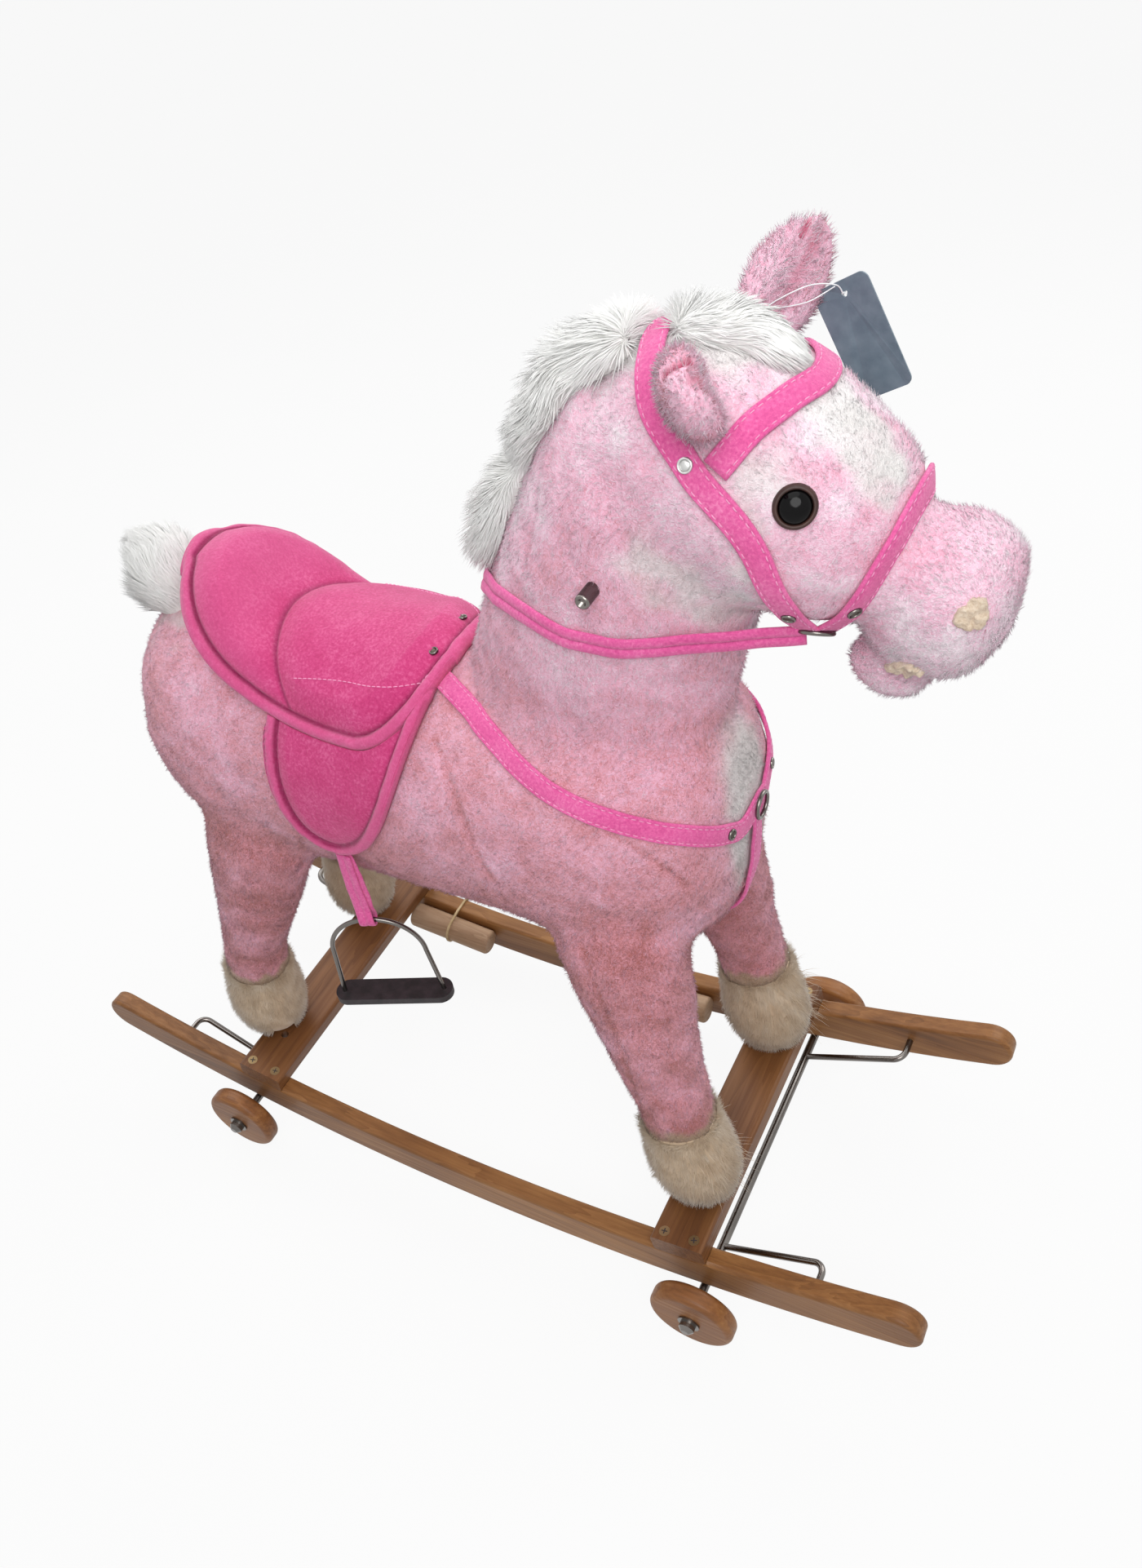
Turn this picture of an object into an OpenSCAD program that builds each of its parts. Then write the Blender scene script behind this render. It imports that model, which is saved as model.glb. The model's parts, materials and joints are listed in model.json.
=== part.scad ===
// Ride-on plush horse on a wooden rocker frame with fold-away wheels.
// X points to the horse's nose, Y to its left and Z up; the floor under the wheels is Z = 0.

/* [Rockers] */
// Length of each rocker over its rounded tips
rocker_len = 750; // [680:5:820]
// Height of the rocker board
rocker_h = 35; // [30:1:40]
// Thickness of the rocker board
rocker_t = 16; // [13:1:20]
// Distance between the middle planes of the two rockers
rocker_gauge = 246; // [236:2:270]
// Radius of the rocking edge
rocker_r = 1250; // [1100:10:1500]

/* [Crossbeams] */
// Distance between the two crossbeams, middle to middle
beam_span = 400; // [390:2:410]
// Width of a crossbeam
beam_w = 42; // [38:1:48]
// Thickness of a crossbeam
beam_t = 17; // [14:1:20]
// Depth of the flat in each rocker that seats a crossbeam
beam_seat = 1.5; // [1:0.1:3]
// Distance between the two screws at a beam end
screw_pitch = 24; // [20:1:28]
// Diameter of the open bolt hole beside each rear hoof
spare_hole_d = 7; // [5:0.5:8]

/* [Wheels and axles] */
// Diameter of a wheel
wheel_d = 66; // [60:1:74]
// Thickness of a wheel
wheel_t = 16; // [12:1:20]
// Diameter of an axle
axle_d = 7; // [6:0.5:8]
// Distance of each axle from the rocker tip beyond it
axle_inset = 157; // [150:1:162]
// Distance of the bail pivots from the rocker tip beyond them
pivot_inset = 77; // [72:1:82]
// Diameter of the bail wire
bail_d = 5; // [4:0.5:6]
// Distance of each bail arm from the middle plane
bail_y = 95; // [88:1:98]
// Gap between a rocker and its wheel
wheel_gap = 14; // [10:1:18]

/* [Inner frame] */
// Diameter of a leg post
post_d = 16; // [12:1:18]
// Distance of each leg post from the middle plane
post_y = 62; // [60:1:64]
// Height of the underside of the shoulder and hip rails
rail_z = 352; // [346:1:358]
// Height of a rail
rail_h = 30; // [24:1:34]
// Width of a rail
rail_w = 34; // [28:1:38]
// Width of the spine board
spine_w = 60; // [50:1:70]
// Thickness of the spine board
spine_t = 18; // [14:1:22]
// Length of the bar inside the neck
neck_bar_len = 214; // [206:1:220]
// Diameter of the steel handle rod
rod_d = 8; // [7:0.5:9]
// Length of the handle rod, end to end
rod_len = 134; // [128:1:144]

/* [Plush body] */
// Length of the body from rump to chest
body_len = 449; // [440:1:456]
// Width of the body
body_w = 176; // [170:1:184]
// Height of the body
body_h = 212; // [206:1:218]
// Height of the middle of the body
body_z = 402; // [398:1:406]

/* [Neck and head] */
// Width of the neck
neck_w = 114; // [108:1:118]
// Depth of the neck from crest to throat
neck_d = 170; // [162:1:176]
// Length of the head behind the muzzle
head_len = 138; // [132:1:144]
// Width of the head
head_w = 108; // [102:1:112]
// Depth of the head from forehead to jowl
head_d = 120; // [114:1:124]
// Width of the muzzle
muzzle_w = 64; // [58:1:70]
// Depth of the muzzle from bridge to lip
muzzle_d = 84; // [78:1:90]
// Length of an ear
ear_len = 62; // [52:1:68]
// Diameter of an eye
eye_d = 20; // [16:0.5:24]

/* [Legs] */
// Height of a leg above its crossbeam, up into the body
leg_len = 309; // [300:1:316]
// Height of a hoof
hoof_len = 86; // [78:1:92]
// Width of a leg at its thickest
leg_w = 72; // [66:1:78]
// Depth of a leg at its thickest
leg_d = 88; // [82:1:94]

/* [Saddle and stirrups] */
// Length of the saddle seat
saddle_len = 200; // [190:1:206]
// Angle that the seat wraps down each flank
saddle_wrap = 52; // [46:1:56]
// Thickness of the padded seat
seat_t = 13; // [9:0.5:16]
// Extra height of the roll at the back of the seat
cantle_h = 36; // [20:1:40]
// Thickness of a saddle flap
flap_t = 4.5; // [3:0.5:6]
// Length of a stirrup strap down to the stirrup
strap_len = 66; // [58:1:72]
// Width of a stirrup strap
stirrup_strap_w = 14; // [11:0.5:16]
// Radius of the stirrup's round arch
arch_r = 35; // [31:1:38]
// Height of a stirrup from its tread to the top of its arch
stirrup_h = 86; // [78:1:94]
// Diameter of the stirrup wire
stirrup_wire_d = 3.5; // [3:0.5:5]

/* [Tack] */
// Width of the bridle and collar straps
tack_w = 13; // [10:0.5:15]
// Width of the reins
rein_w = 12; // [9:0.5:14]
// Thickness of the straps
tack_t = 2.4; // [1.5:0.1:3]

/* [Hand grips] */
// Diameter of a hand grip
grip_d = 24; // [20:1:27]
// Length of a hand grip
grip_len = 86; // [76:1:92]

/* [Hidden] */

$fn = 48;
// Clearance of a turning fit, on the radius
fit_gap = 0.08;
// Clearance round a soft piece
soft_gap = 0.4;
// Gap between an axle and the rocker that bears on it
bear_gap = 0.3;
// How far a cut runs past the face it opens
overrun = 2;
// Radius of the eased edges on the wood
edge_r = 3;

// Frame layout
rock_in_y = rocker_gauge / 2 - rocker_t / 2;
rock_out_y = rocker_gauge / 2 + rocker_t / 2;
rock_mid_r = rocker_r - rocker_h / 2;
rock_top_r = rocker_r - rocker_h;
rock_seat_r = rock_top_r + beam_seat;
axle_x = rocker_len / 2 - axle_inset;
pivot_x = rocker_len / 2 - pivot_inset;
axle_z = wheel_d / 2;
rock_cz = axle_z + sqrt(pow(rocker_r + axle_d / 2 + bear_gap, 2) - axle_x * axle_x);
tip_a = asin((rocker_len / 2 - rocker_h / 2) / rock_mid_r);
beam_a = asin(beam_span / 2 / rock_top_r);
// The sanded tip runs back into the board and is a hair thinner than it
tip_overlap = 8;
tip_step = 0.05;
beam_len = 2 * rock_out_y;
pivot_z = rock_cz - sqrt(rock_mid_r * rock_mid_r - pivot_x * pivot_x);
pivot_depth = rocker_t * 0.55;

// Screws and bolts
screw_d = 4;
screw_head_d = 8.4;
screw_head_h = 3;
screw_bite = 20;
bolt_d = 6;
bolt_head_d = 11;
bolt_head_h = 4;
bolt_bite = 40;
spare_hole_y = 88;
spare_hole_x = 2;

// Axle pieces
collar_d = 13;
collar_t = 2;
washer_d = 17;
washer_t = 1.2;
cap_d = 12;
cap_len = 7;
cap_hole = 4;
wheel_edge_r = 5;
wheel_in_y = rock_out_y + wheel_gap;
wheel_out_y = wheel_in_y + wheel_t;
axle_end_y = wheel_out_y + bear_gap + washer_t + cap_hole;
bail_bend_r = 9;
bail_arm = sqrt(pow(pivot_x - axle_x, 2) + pow(pivot_z - axle_z, 2));
bail_a = atan2(pivot_z - axle_z, pivot_x - axle_x);

// Inner frame
rail_len = 2 * post_y + post_d;
front_post_shift = 0;
rear_post_shift = 11;
neck_foot_x = 118;
neck_lean = 78;
neck_bar_w = 34;
neck_bar_d = 26;
rod_up_share = 0.91;
beam_top_x = (rock_seat_r - beam_t) * sin(beam_a);
beam_top_z = rock_cz - (rock_seat_r - beam_t) * cos(beam_a);
spine_z = rail_z + rail_h;
rod_x = neck_foot_x + neck_bar_len * rod_up_share * cos(neck_lean);
rod_z = spine_z + spine_t + neck_bar_len * rod_up_share * sin(neck_lean);

// Plush layout
rump_x = -234;
neck_x = 110;
neck_z = 430;
neck_run = 80;
neck_rise = 225;
head_x = 150;
head_z = 650;
head_drop = 54;
muzzle_x = 276;
muzzle_z = 586;
muzzle_len = 67;
muzzle_drop = 17;
jaw_x = 268;
jaw_z = 541;
jaw_len = 40;
jaw_drop = 14;
jaw_w = 36;
jaw_d = 30;
mane_x = 166;
mane_z = 688;
mane_run = 98;
mane_fall = 118;
mane_w = 38;
forelock_x = 240;
forelock_z = 683;
forelock_run = 52;
forelock_w = 30;
forelock_rise = 10;
forelock_d = 26;
tail_x = -178;
tail_z = 466;
tail_run = 40;
tail_rise = 64;
tail_w = 58;
leg_splay = 75;
front_leg_shift = 0;
front_leg_rake = 8;
rear_leg_shift = 22;
rear_leg_rake = 26;
hoof_w = 60;
hoof_d = 65;
ear_w = 38;
ear_t = 24;
plush_sides = 26;
limb_sides = 18;
loft_steps = 2;

// Rows of a loft: place along, lift, half width and half depth, as shares of the sizes they follow
body_shares = [
    [0.000, 0.038, 0.11, 0.11], [0.013, 0.038, 0.48, 0.49], [0.058, 0.024, 0.80, 0.78],
    [0.154, -0.005, 1.00, 0.94], [0.298, -0.028, 0.99, 0.92], [0.499, -0.038, 0.96, 0.91],
    [0.677, -0.028, 0.98, 0.94], [0.822, -0.009, 1.00, 1.00], [0.933, 0.000, 0.82, 0.85],
    [0.984, 0.000, 0.52, 0.57], [1.000, 0.000, 0.11, 0.11]];
// The last number of a neck, head, mane or tail row is the lean of its ring in degrees
neck_shares = [
    [0.00, 0.00, 0.90, 1.00, 75], [0.15, 0.22, 0.92, 0.96, 72], [0.40, 0.49, 0.98, 0.87, 68],
    [0.68, 0.73, 0.96, 0.80, 62], [0.88, 0.91, 0.84, 0.66, 55], [1.00, 1.00, 0.52, 0.42, 50]];
head_shares = [
    [0.00, 0.00, 0.22, 0.23, -15], [0.05, 0.04, 0.67, 0.67, -15], [0.23, 0.17, 0.93, 0.93, -16],
    [0.49, 0.41, 1.00, 1.00, -18], [0.76, 0.70, 0.89, 0.87, -20], [0.93, 0.91, 0.70, 0.70, -20],
    [1.00, 1.00, 0.44, 0.47, -20]];
muzzle_shares = [
    [0.00, 0.00, 0.38, 0.38, -15], [0.12, 0.12, 0.75, 0.76, -15], [0.33, 0.33, 0.95, 0.95, -15],
    [0.62, 0.62, 1.00, 1.00, -15], [0.87, 0.87, 0.78, 0.78, -15], [1.00, 1.00, 0.22, 0.22, -15]];
jaw_shares = [
    [0.00, 0.00, 0.25, 0.25, -15], [0.15, 0.15, 0.75, 0.75, -15], [0.50, 0.50, 1.00, 1.00, -15],
    [0.82, 0.82, 0.82, 0.82, -15], [1.00, 1.00, 0.25, 0.25, -15]];
mane_shares = [
    [0.00, 0.00, 0.30, 0.30, 195], [0.03, 0.02, 0.85, 0.70, 200], [0.29, 0.12, 0.97, 0.88, 215],
    [0.50, 0.31, 0.95, 0.90, 230], [0.65, 0.51, 0.82, 0.60, 238], [0.79, 0.71, 0.97, 0.92, 240],
    [0.96, 0.94, 0.80, 0.78, 240], [1.00, 1.00, 0.26, 0.26, 240]];
forelock_shares = [
    [0.00, 0.00, 0.35, 0.35, 172], [0.12, 0.40, 0.80, 0.70, 172], [0.50, 1.00, 1.00, 1.00, 180],
    [0.92, 0.85, 0.90, 0.85, 186], [1.00, 0.70, 0.40, 0.40, 186]];
tail_shares = [
    [0.00, 0.00, 0.36, 0.36, 124], [0.15, 0.18, 0.62, 0.60, 124], [0.44, 0.47, 0.97, 0.90, 124],
    [0.72, 0.75, 1.00, 0.90, 124], [0.93, 0.94, 0.60, 0.56, 124], [1.00, 1.00, 0.18, 0.18, 124]];
// Leg rows: rake, splay, height, half width and half depth
leg_shares = [
    [0.00, 1.00, 0.000, 0.73, 0.61], [-0.05, 0.99, 0.090, 0.73, 0.60], [-0.30, 0.95, 0.229, 0.80, 0.66],
    [-0.75, 0.88, 0.482, 0.93, 0.84], [-1.15, 0.78, 0.764, 1.00, 1.00], [-1.35, 0.67, 1.000, 0.65, 0.77]];
// Hoof rows below the leg: height, half width and half depth
hoof_shares = [
    [0.00, 0.46, 0.48], [0.10, 0.76, 0.78], [0.32, 0.97, 0.98], [0.56, 1.00, 1.00], [0.82, 0.93, 0.92]];
ear_shares = [
    [0.00, 0.45, 0.45], [0.12, 0.72, 0.70], [0.45, 1.00, 1.00], [0.75, 0.80, 0.84], [0.94, 0.42, 0.48],
    [1.00, 0.14, 0.16]];
ear_dent_share = 0.45;

// Smooth row between the rows of a table, passing through each of them
function row_at(t, i) = t[max(0, min(len(t) - 1, i))];
function smooth_row(t, u) =
    let (i = max(0, min(floor(u), len(t) - 2)), f = u - i,
         a = row_at(t, i - 1), b = row_at(t, i), c = row_at(t, i + 1), d = row_at(t, i + 2))
    (2 * b + (c - a) * f + (2 * a - 5 * b + 4 * c - d) * f * f + (3 * b - a - 3 * c + d) * f * f * f) / 2;

// Point at angle a on the ring of a row [x, y, z, half width, half depth, lean, dent]
function ring_point(r, a) =
    let (k = 1 - r[6] * pow(max(0, sin(a)), 4), s = sin(a) * r[4] * k)
    [r[0] - s * sin(r[5]), r[1] + r[3] * cos(a), r[2] + s * cos(r[5])];
function form_point(t, u, a) = ring_point(smooth_row(t, u), a);
// Outward direction of a form at station u and angle a
function form_normal(t, u, a) =
    let (h = 0.05, lo = max(0, u - h), hi = min(len(t) - 1, u + h),
         round_way = form_point(t, u, a + 1) - form_point(t, u, a - 1),
         n = cross(round_way, form_point(t, hi, a) - form_point(t, lo, a)),
         r = smooth_row(t, u), m = form_point(t, u, a) - [r[0], r[1], r[2]])
    n / norm(n) * (n * m < 0 ? -1 : 1);
function off_form(t, u, a, off) = form_point(t, u, a) + form_normal(t, u, a) * off;

// Rows of each form in millimetres
body_rows = [for (s = body_shares)
    [rump_x + s[0] * body_len, 0, body_z + s[1] * body_h, s[2] * body_w / 2, s[3] * body_h / 2, 0, 0]];
neck_rows = [for (s = neck_shares)
    [neck_x + s[0] * neck_run, 0, neck_z + s[1] * neck_rise, s[2] * neck_w / 2, s[3] * neck_d / 2, s[4], 0]];
head_rows = [for (s = head_shares)
    [head_x + s[0] * head_len, 0, head_z - s[1] * head_drop, s[2] * head_w / 2, s[3] * head_d / 2, s[4], 0]];
muzzle_rows = [for (s = muzzle_shares)
    [muzzle_x + s[0] * muzzle_len, 0, muzzle_z - s[1] * muzzle_drop,
     s[2] * muzzle_w / 2, s[3] * muzzle_d / 2, s[4], 0]];
jaw_rows = [for (s = jaw_shares)
    [jaw_x + s[0] * jaw_len, 0, jaw_z - s[1] * jaw_drop, s[2] * jaw_w / 2, s[3] * jaw_d / 2, s[4], 0]];
mane_rows = [for (s = mane_shares)
    [mane_x - s[0] * mane_run, 0, mane_z - s[1] * mane_fall, s[2] * mane_w / 2, s[3] * mane_w / 2, s[4], 0]];
forelock_rows = [for (s = forelock_shares)
    [forelock_x - s[0] * forelock_run, 0, forelock_z + s[1] * forelock_rise,
     s[2] * forelock_w / 2, s[3] * forelock_d / 2, s[4], 0]];
tail_rows = [for (s = tail_shares)
    [tail_x - s[0] * tail_run, 0, tail_z + s[1] * tail_rise, s[2] * tail_w / 2, s[3] * tail_w / 2, s[4], 0]];
function leg_shift(e) = e > 0 ? front_leg_shift : rear_leg_shift;
function leg_rake(e) = e > 0 ? front_leg_rake : rear_leg_rake;
function leg_rows(e, s) = [for (r = leg_shares)
    [e * (leg_shift(e) + r[0] * leg_rake(e)), s * r[1] * leg_splay,
     beam_t + soft_gap + hoof_len + r[2] * (leg_len - hoof_len), r[3] * leg_w / 2, r[4] * leg_d / 2, -90, 0]];
function hoof_rows(e, s) =
    let (top = leg_rows(e, s)[0])
    concat([for (r = hoof_shares)
        [top[0], top[1], beam_t + soft_gap + r[0] * hoof_len, r[1] * hoof_w / 2, r[2] * hoof_d / 2, -90, 0]],
        [top]);
ear_rows = [for (s = ear_shares)
    [s[0] * ear_len, 0, 0, s[1] * ear_w / 2, s[2] * ear_t / 2, 0, ear_dent_share]];

// Closed solid through the rings of a form
module loft(t, n) {
    m = (len(t) - 1) * loft_steps;
    rows = [for (k = [0 : m]) smooth_row(t, k / loft_steps)];
    ends = [for (r = [rows[0], rows[m]]) [r[0], r[1], r[2]]];
    points = concat([for (r = rows, i = [0 : n - 1]) ring_point(r, 360 * i / n)], ends);
    first = (m + 1) * n;
    sides = [for (k = [0 : m - 1], i = [0 : n - 1])
        let (a = k * n + i, b = k * n + (i + 1) % n)
        each [[a, a + n, b], [b, a + n, b + n]]];
    caps = [for (i = [0 : n - 1])
        each [[first, i, (i + 1) % n], [first + 1, m * n + (i + 1) % n, m * n + i]]];
    polyhedron(points, concat(sides, caps));
}

// Strip of webbing along places [point, outward direction]
module webbing(path, w, t) {
    m = len(path) - 1;
    along = [for (k = [0 : m]) path[min(m, k + 1)][0] - path[max(0, k - 1)][0]];
    across = [for (k = [0 : m]) let (c = cross(path[k][1], along[k])) c / norm(c) * w / 2];
    points = [for (k = [0 : m], c = [[-1, 0], [1, 0], [1, 1], [-1, 1]])
        path[k][0] + c[0] * across[k] + c[1] * t * path[k][1]];
    sides = [for (k = [0 : m - 1], i = [0 : 3])
        let (a = 4 * k + i, b = 4 * k + (i + 1) % 4)
        each [[a, a + 4, b], [b, a + 4, b + 4]]];
    caps = [[0, 1, 2], [0, 2, 3], [4 * m, 4 * m + 2, 4 * m + 1], [4 * m, 4 * m + 3, 4 * m + 2]];
    polyhedron(points, concat(sides, caps));
}
// Places along a route of [station, angle] rows on a form, mirrored to make it whole
function whole_route(half) = concat(half,
    [for (k = [len(half) - 2 : -1 : 0]) [half[k][0], 180 - half[k][1]]]);
function lie_on(t, route, off, steps) = [for (k = [0 : (len(route) - 1) * steps])
    let (q = smooth_row(route, k / steps))
    [off_form(t, q[0], q[1], off), form_normal(t, q[0], q[1])]];

// Rectangle with round corners, and its right half
module rounded(w, h, r) {
    square([w - 2 * r, h], center = true);
    square([w, h - 2 * r], center = true);
    for (x = [-1, 1], y = [-1, 1])
        translate([x * (w / 2 - r), y * (h / 2 - r)]) circle(r);
}
module half_rounded(w, h, r) {
    intersection() {
        rounded(w, h, r);
        translate([0, -h]) square([w, 2 * h]);
    }
}

// Stands its children on the seat of the front (e = 1) or rear (e = -1) crossbeam
module at_beam(e) {
    translate([0, 0, rock_cz]) rotate([0, -e * beam_a, 0]) translate([0, 0, -rock_seat_r]) children();
}
// Turns its children so that their Z points along n
module facing(p, n) {
    translate(p) rotate([0, acos(n[2]), atan2(n[1], n[0])]) children();
}

// Rockers and crossbeams
module rocker_bar() {
    rotate([90, 0, 0]) {
        rotate(-90 - tip_a) rotate_extrude(angle = 2 * tip_a, $fn = 360)
            translate([rock_mid_r, 0]) rounded(rocker_h, rocker_t, edge_r);
        for (e = [-1, 1])
            rotate(-90 + e * tip_a) translate([rock_mid_r, 0]) rotate(e > 0 ? -tip_overlap : 180 - tip_overlap)
                rotate_extrude(angle = 180 + 2 * tip_overlap)
                    half_rounded(rocker_h - 2 * tip_step, rocker_t - 2 * tip_step, edge_r);
    }
}
module rocker(s) {
    color("peru") difference() {
        translate([0, s * rocker_gauge / 2, rock_cz]) rocker_bar();
        for (e = [-1, 1]) {
            at_beam(e) {
                translate([-beam_w / 2 - fit_gap, s * rocker_gauge / 2 - rocker_t, 0])
                    cube([beam_w + 2 * fit_gap, 2 * rocker_t, beam_t]);
                for (x = [-1, 1])
                    translate([x * screw_pitch / 2, s * rocker_gauge / 2, -screw_bite - overrun])
                        cylinder(d = screw_d + 2 * fit_gap, h = screw_bite + 2 * overrun);
            }
            translate([e * pivot_x, s * (rock_in_y + pivot_depth), pivot_z]) rotate([s * 90, 0, 0])
                cylinder(d = bail_d + 2 * fit_gap, h = pivot_depth + overrun);
        }
    }
}
function post_shift(e) = e > 0 ? front_post_shift : rear_post_shift;
module crossbeam(e) {
    color("peru") at_beam(e) difference() {
        translate([0, beam_len / 2, beam_t / 2]) rotate([90, 0, 0])
            linear_extrude(beam_len) rounded(beam_w, beam_t, edge_r);
        for (s = [-1, 1]) {
            for (x = [-1, 1]) translate([x * screw_pitch / 2, s * rocker_gauge / 2, 0]) {
                translate([0, 0, -overrun]) cylinder(d = screw_d + 2 * fit_gap, h = beam_t + 2 * overrun);
                translate([0, 0, beam_t - screw_head_h])
                    cylinder(d1 = screw_d + 2 * fit_gap, d2 = screw_head_d + 2 * fit_gap, h = screw_head_h);
            }
            translate([e * post_shift(e), s * post_y, -overrun])
                cylinder(d = bolt_d + 2 * fit_gap, h = beam_t + 2 * overrun);
            if (e < 0) translate([e * spare_hole_x, s * spare_hole_y, -overrun])
                cylinder(d = spare_hole_d, h = beam_t + 2 * overrun);
        }
    }
}
module crossbeam_screws() {
    color("silver") for (e = [-1, 1], s = [-1, 1], x = [-1, 1])
        at_beam(e) translate([x * screw_pitch / 2, s * rocker_gauge / 2, -screw_bite]) {
            cylinder(d = screw_d, h = screw_bite + beam_t - screw_head_h);
            translate([0, 0, screw_bite + beam_t - screw_head_h])
                cylinder(d1 = screw_d, d2 = screw_head_d, h = screw_head_h);
        }
}
module leg_bolts() {
    color("silver") for (e = [-1, 1], s = [-1, 1])
        at_beam(e) translate([e * post_shift(e), s * post_y, -bolt_head_h]) {
            cylinder(d = bolt_head_d, h = bolt_head_h, $fn = 6);
            cylinder(d = bolt_d, h = bolt_head_h + beam_t + bolt_bite);
        }
}

// Axles with their bails, wheels and end caps; each is drawn for the front and turned for the rear
module end_of(e) { rotate([0, 0, e > 0 ? 0 : 180]) children(); }
module bail_arm(s) {
    straight = bail_arm - bail_bend_r;
    translate([axle_x, s * bail_y, axle_z]) rotate([0, -bail_a, 0]) {
        rotate([0, 90, 0]) cylinder(d = bail_d, h = straight);
        translate([straight, s * bail_bend_r, 0]) rotate(s > 0 ? -90 : 0)
            rotate_extrude(angle = 90) translate([bail_bend_r, 0]) circle(d = bail_d);
        translate([bail_arm, s * bail_bend_r, 0]) rotate([-s * 90, 0, 0])
            cylinder(d = bail_d, h = rock_in_y + pivot_depth - overrun / 2 - bail_y - bail_bend_r);
    }
}
module axle(e) {
    color("silver") end_of(e) {
        translate([axle_x, axle_end_y, axle_z]) rotate([90, 0, 0]) cylinder(d = axle_d, h = 2 * axle_end_y);
        for (s = [-1, 1]) {
            translate([axle_x, s * (wheel_in_y - bear_gap), axle_z]) rotate([s * 90, 0, 0])
                cylinder(d = collar_d, h = collar_t);
            bail_arm(s);
        }
    }
}
module wheel(e, s) {
    color("burlywood") end_of(e)
        translate([axle_x, e * s * (wheel_in_y + wheel_t / 2), axle_z]) rotate([90, 0, 0])
            rotate_extrude() difference() {
                half_rounded(wheel_d, wheel_t, wheel_edge_r);
                translate([0, -wheel_t]) square([axle_d / 2 + fit_gap, 2 * wheel_t]);
            }
}
module axle_washers(e) {
    color("silver") end_of(e) for (s = [-1, 1])
        translate([axle_x, s * (wheel_out_y + bear_gap), axle_z]) rotate([-s * 90, 0, 0])
            difference() {
                cylinder(d = washer_d, h = washer_t);
                translate([0, 0, -overrun]) cylinder(d = axle_d + 2 * fit_gap, h = washer_t + 2 * overrun);
            }
}
module axle_caps(e) {
    color("gainsboro") end_of(e) for (s = [-1, 1])
        translate([axle_x, s * (wheel_out_y + bear_gap + washer_t), axle_z]) rotate([-s * 90, 0, 0])
            difference() {
                union() {
                    cylinder(d = cap_d, h = cap_len - cap_d / 4);
                    translate([0, 0, cap_len - cap_d / 4]) cylinder(d1 = cap_d, d2 = cap_d / 2, h = cap_d / 4);
                }
                translate([0, 0, -overrun])
                    cylinder(d = axle_d + 2 * fit_gap, h = cap_hole + fit_gap + overrun);
            }
}

// Wooden frame inside the plush; grow gives the room that the stuffing leaves round a piece
function rail_x(e) = e * (beam_top_x + post_shift(e) * cos(beam_a)
    - (rail_z - beam_top_z - post_shift(e) * sin(beam_a)) * tan(beam_a));
module post_bar(e, s, grow = 0) {
    difference() {
        at_beam(e) translate([e * post_shift(e), s * post_y, beam_t])
            cylinder(d = post_d + 2 * grow, h = (rail_z - beam_top_z) / cos(beam_a) + post_d);
        translate([rail_x(e) - 2 * post_d, s * post_y - 2 * post_d, rail_z])
            cube([4 * post_d, 4 * post_d, 2 * post_d]);
    }
}
module leg_post(e, s) {
    difference() {
        post_bar(e, s);
        at_beam(e) translate([e * post_shift(e), s * post_y, beam_t - overrun])
            cylinder(d = bolt_d + 2 * fit_gap, h = bolt_bite + 2 * overrun);
    }
}
module leg_posts() { color("tan") for (e = [-1, 1], s = [-1, 1]) leg_post(e, s); }
module rail(e, grow = 0) {
    translate([rail_x(e) - rail_w / 2 - grow, -rail_len / 2 - grow, rail_z - grow])
        cube([rail_w + 2 * grow, rail_len + 2 * grow, rail_h + 2 * grow]);
}
module shoulder_rail() { color("tan") rail(1); }
module hip_rail() { color("tan") rail(-1); }
module spine(grow = 0) {
    translate([rail_x(-1) - rail_w / 2 - grow, -spine_w / 2 - grow, spine_z - grow])
        cube([rail_x(1) - rail_x(-1) + rail_w + 2 * grow, spine_w + 2 * grow, spine_t + 2 * grow]);
}
module spine_board() { color("tan") spine(); }
module neck_wood(grow = 0) {
    difference() {
        translate([neck_foot_x, 0, spine_z + spine_t]) rotate([0, 90 - neck_lean, 0])
            translate([-neck_bar_d / 2 - grow, -neck_bar_w / 2 - grow, -neck_bar_d])
                cube([neck_bar_d + 2 * grow, neck_bar_w + 2 * grow, neck_bar_d + neck_bar_len + grow]);
        translate([neck_foot_x - 2 * neck_bar_d, -neck_bar_w, spine_z + spine_t - 2 * neck_bar_d])
            cube([4 * neck_bar_d, 2 * neck_bar_w, 2 * neck_bar_d]);
    }
}
module rod(grow = 0) {
    translate([rod_x, rod_len / 2 + grow, rod_z]) rotate([90, 0, 0])
        cylinder(d = rod_d + 2 * grow, h = rod_len + 2 * grow);
}
module neck_bar() {
    color("tan") difference() {
        neck_wood();
        rod(fit_gap);
    }
}
module handle_rod() { color("silver") rod(); }

// Plush horse; each smaller form is cut by the larger ones it grows from
module plush_body() {
    color("pink") difference() {
        loft(body_rows, plush_sides);
        for (e = [-1, 1]) {
            rail(e, soft_gap);
            for (s = [-1, 1]) post_bar(e, s, soft_gap);
        }
        spine(soft_gap);
        neck_wood(soft_gap);
    }
}
module plush_neck() {
    color("pink") difference() {
        loft(neck_rows, plush_sides);
        loft(body_rows, plush_sides);
        neck_wood(soft_gap);
        rod(soft_gap);
    }
}
module plush_head() {
    color("pink") difference() {
        loft(head_rows, plush_sides);
        loft(neck_rows, plush_sides);
    }
}
module muzzle() {
    color("lightpink") difference() {
        loft(muzzle_rows, plush_sides);
        loft(head_rows, plush_sides);
    }
}
module lower_jaw() {
    color("lightpink") difference() {
        loft(jaw_rows, limb_sides);
        loft(head_rows, plush_sides);
        loft(muzzle_rows, plush_sides);
    }
}
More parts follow.
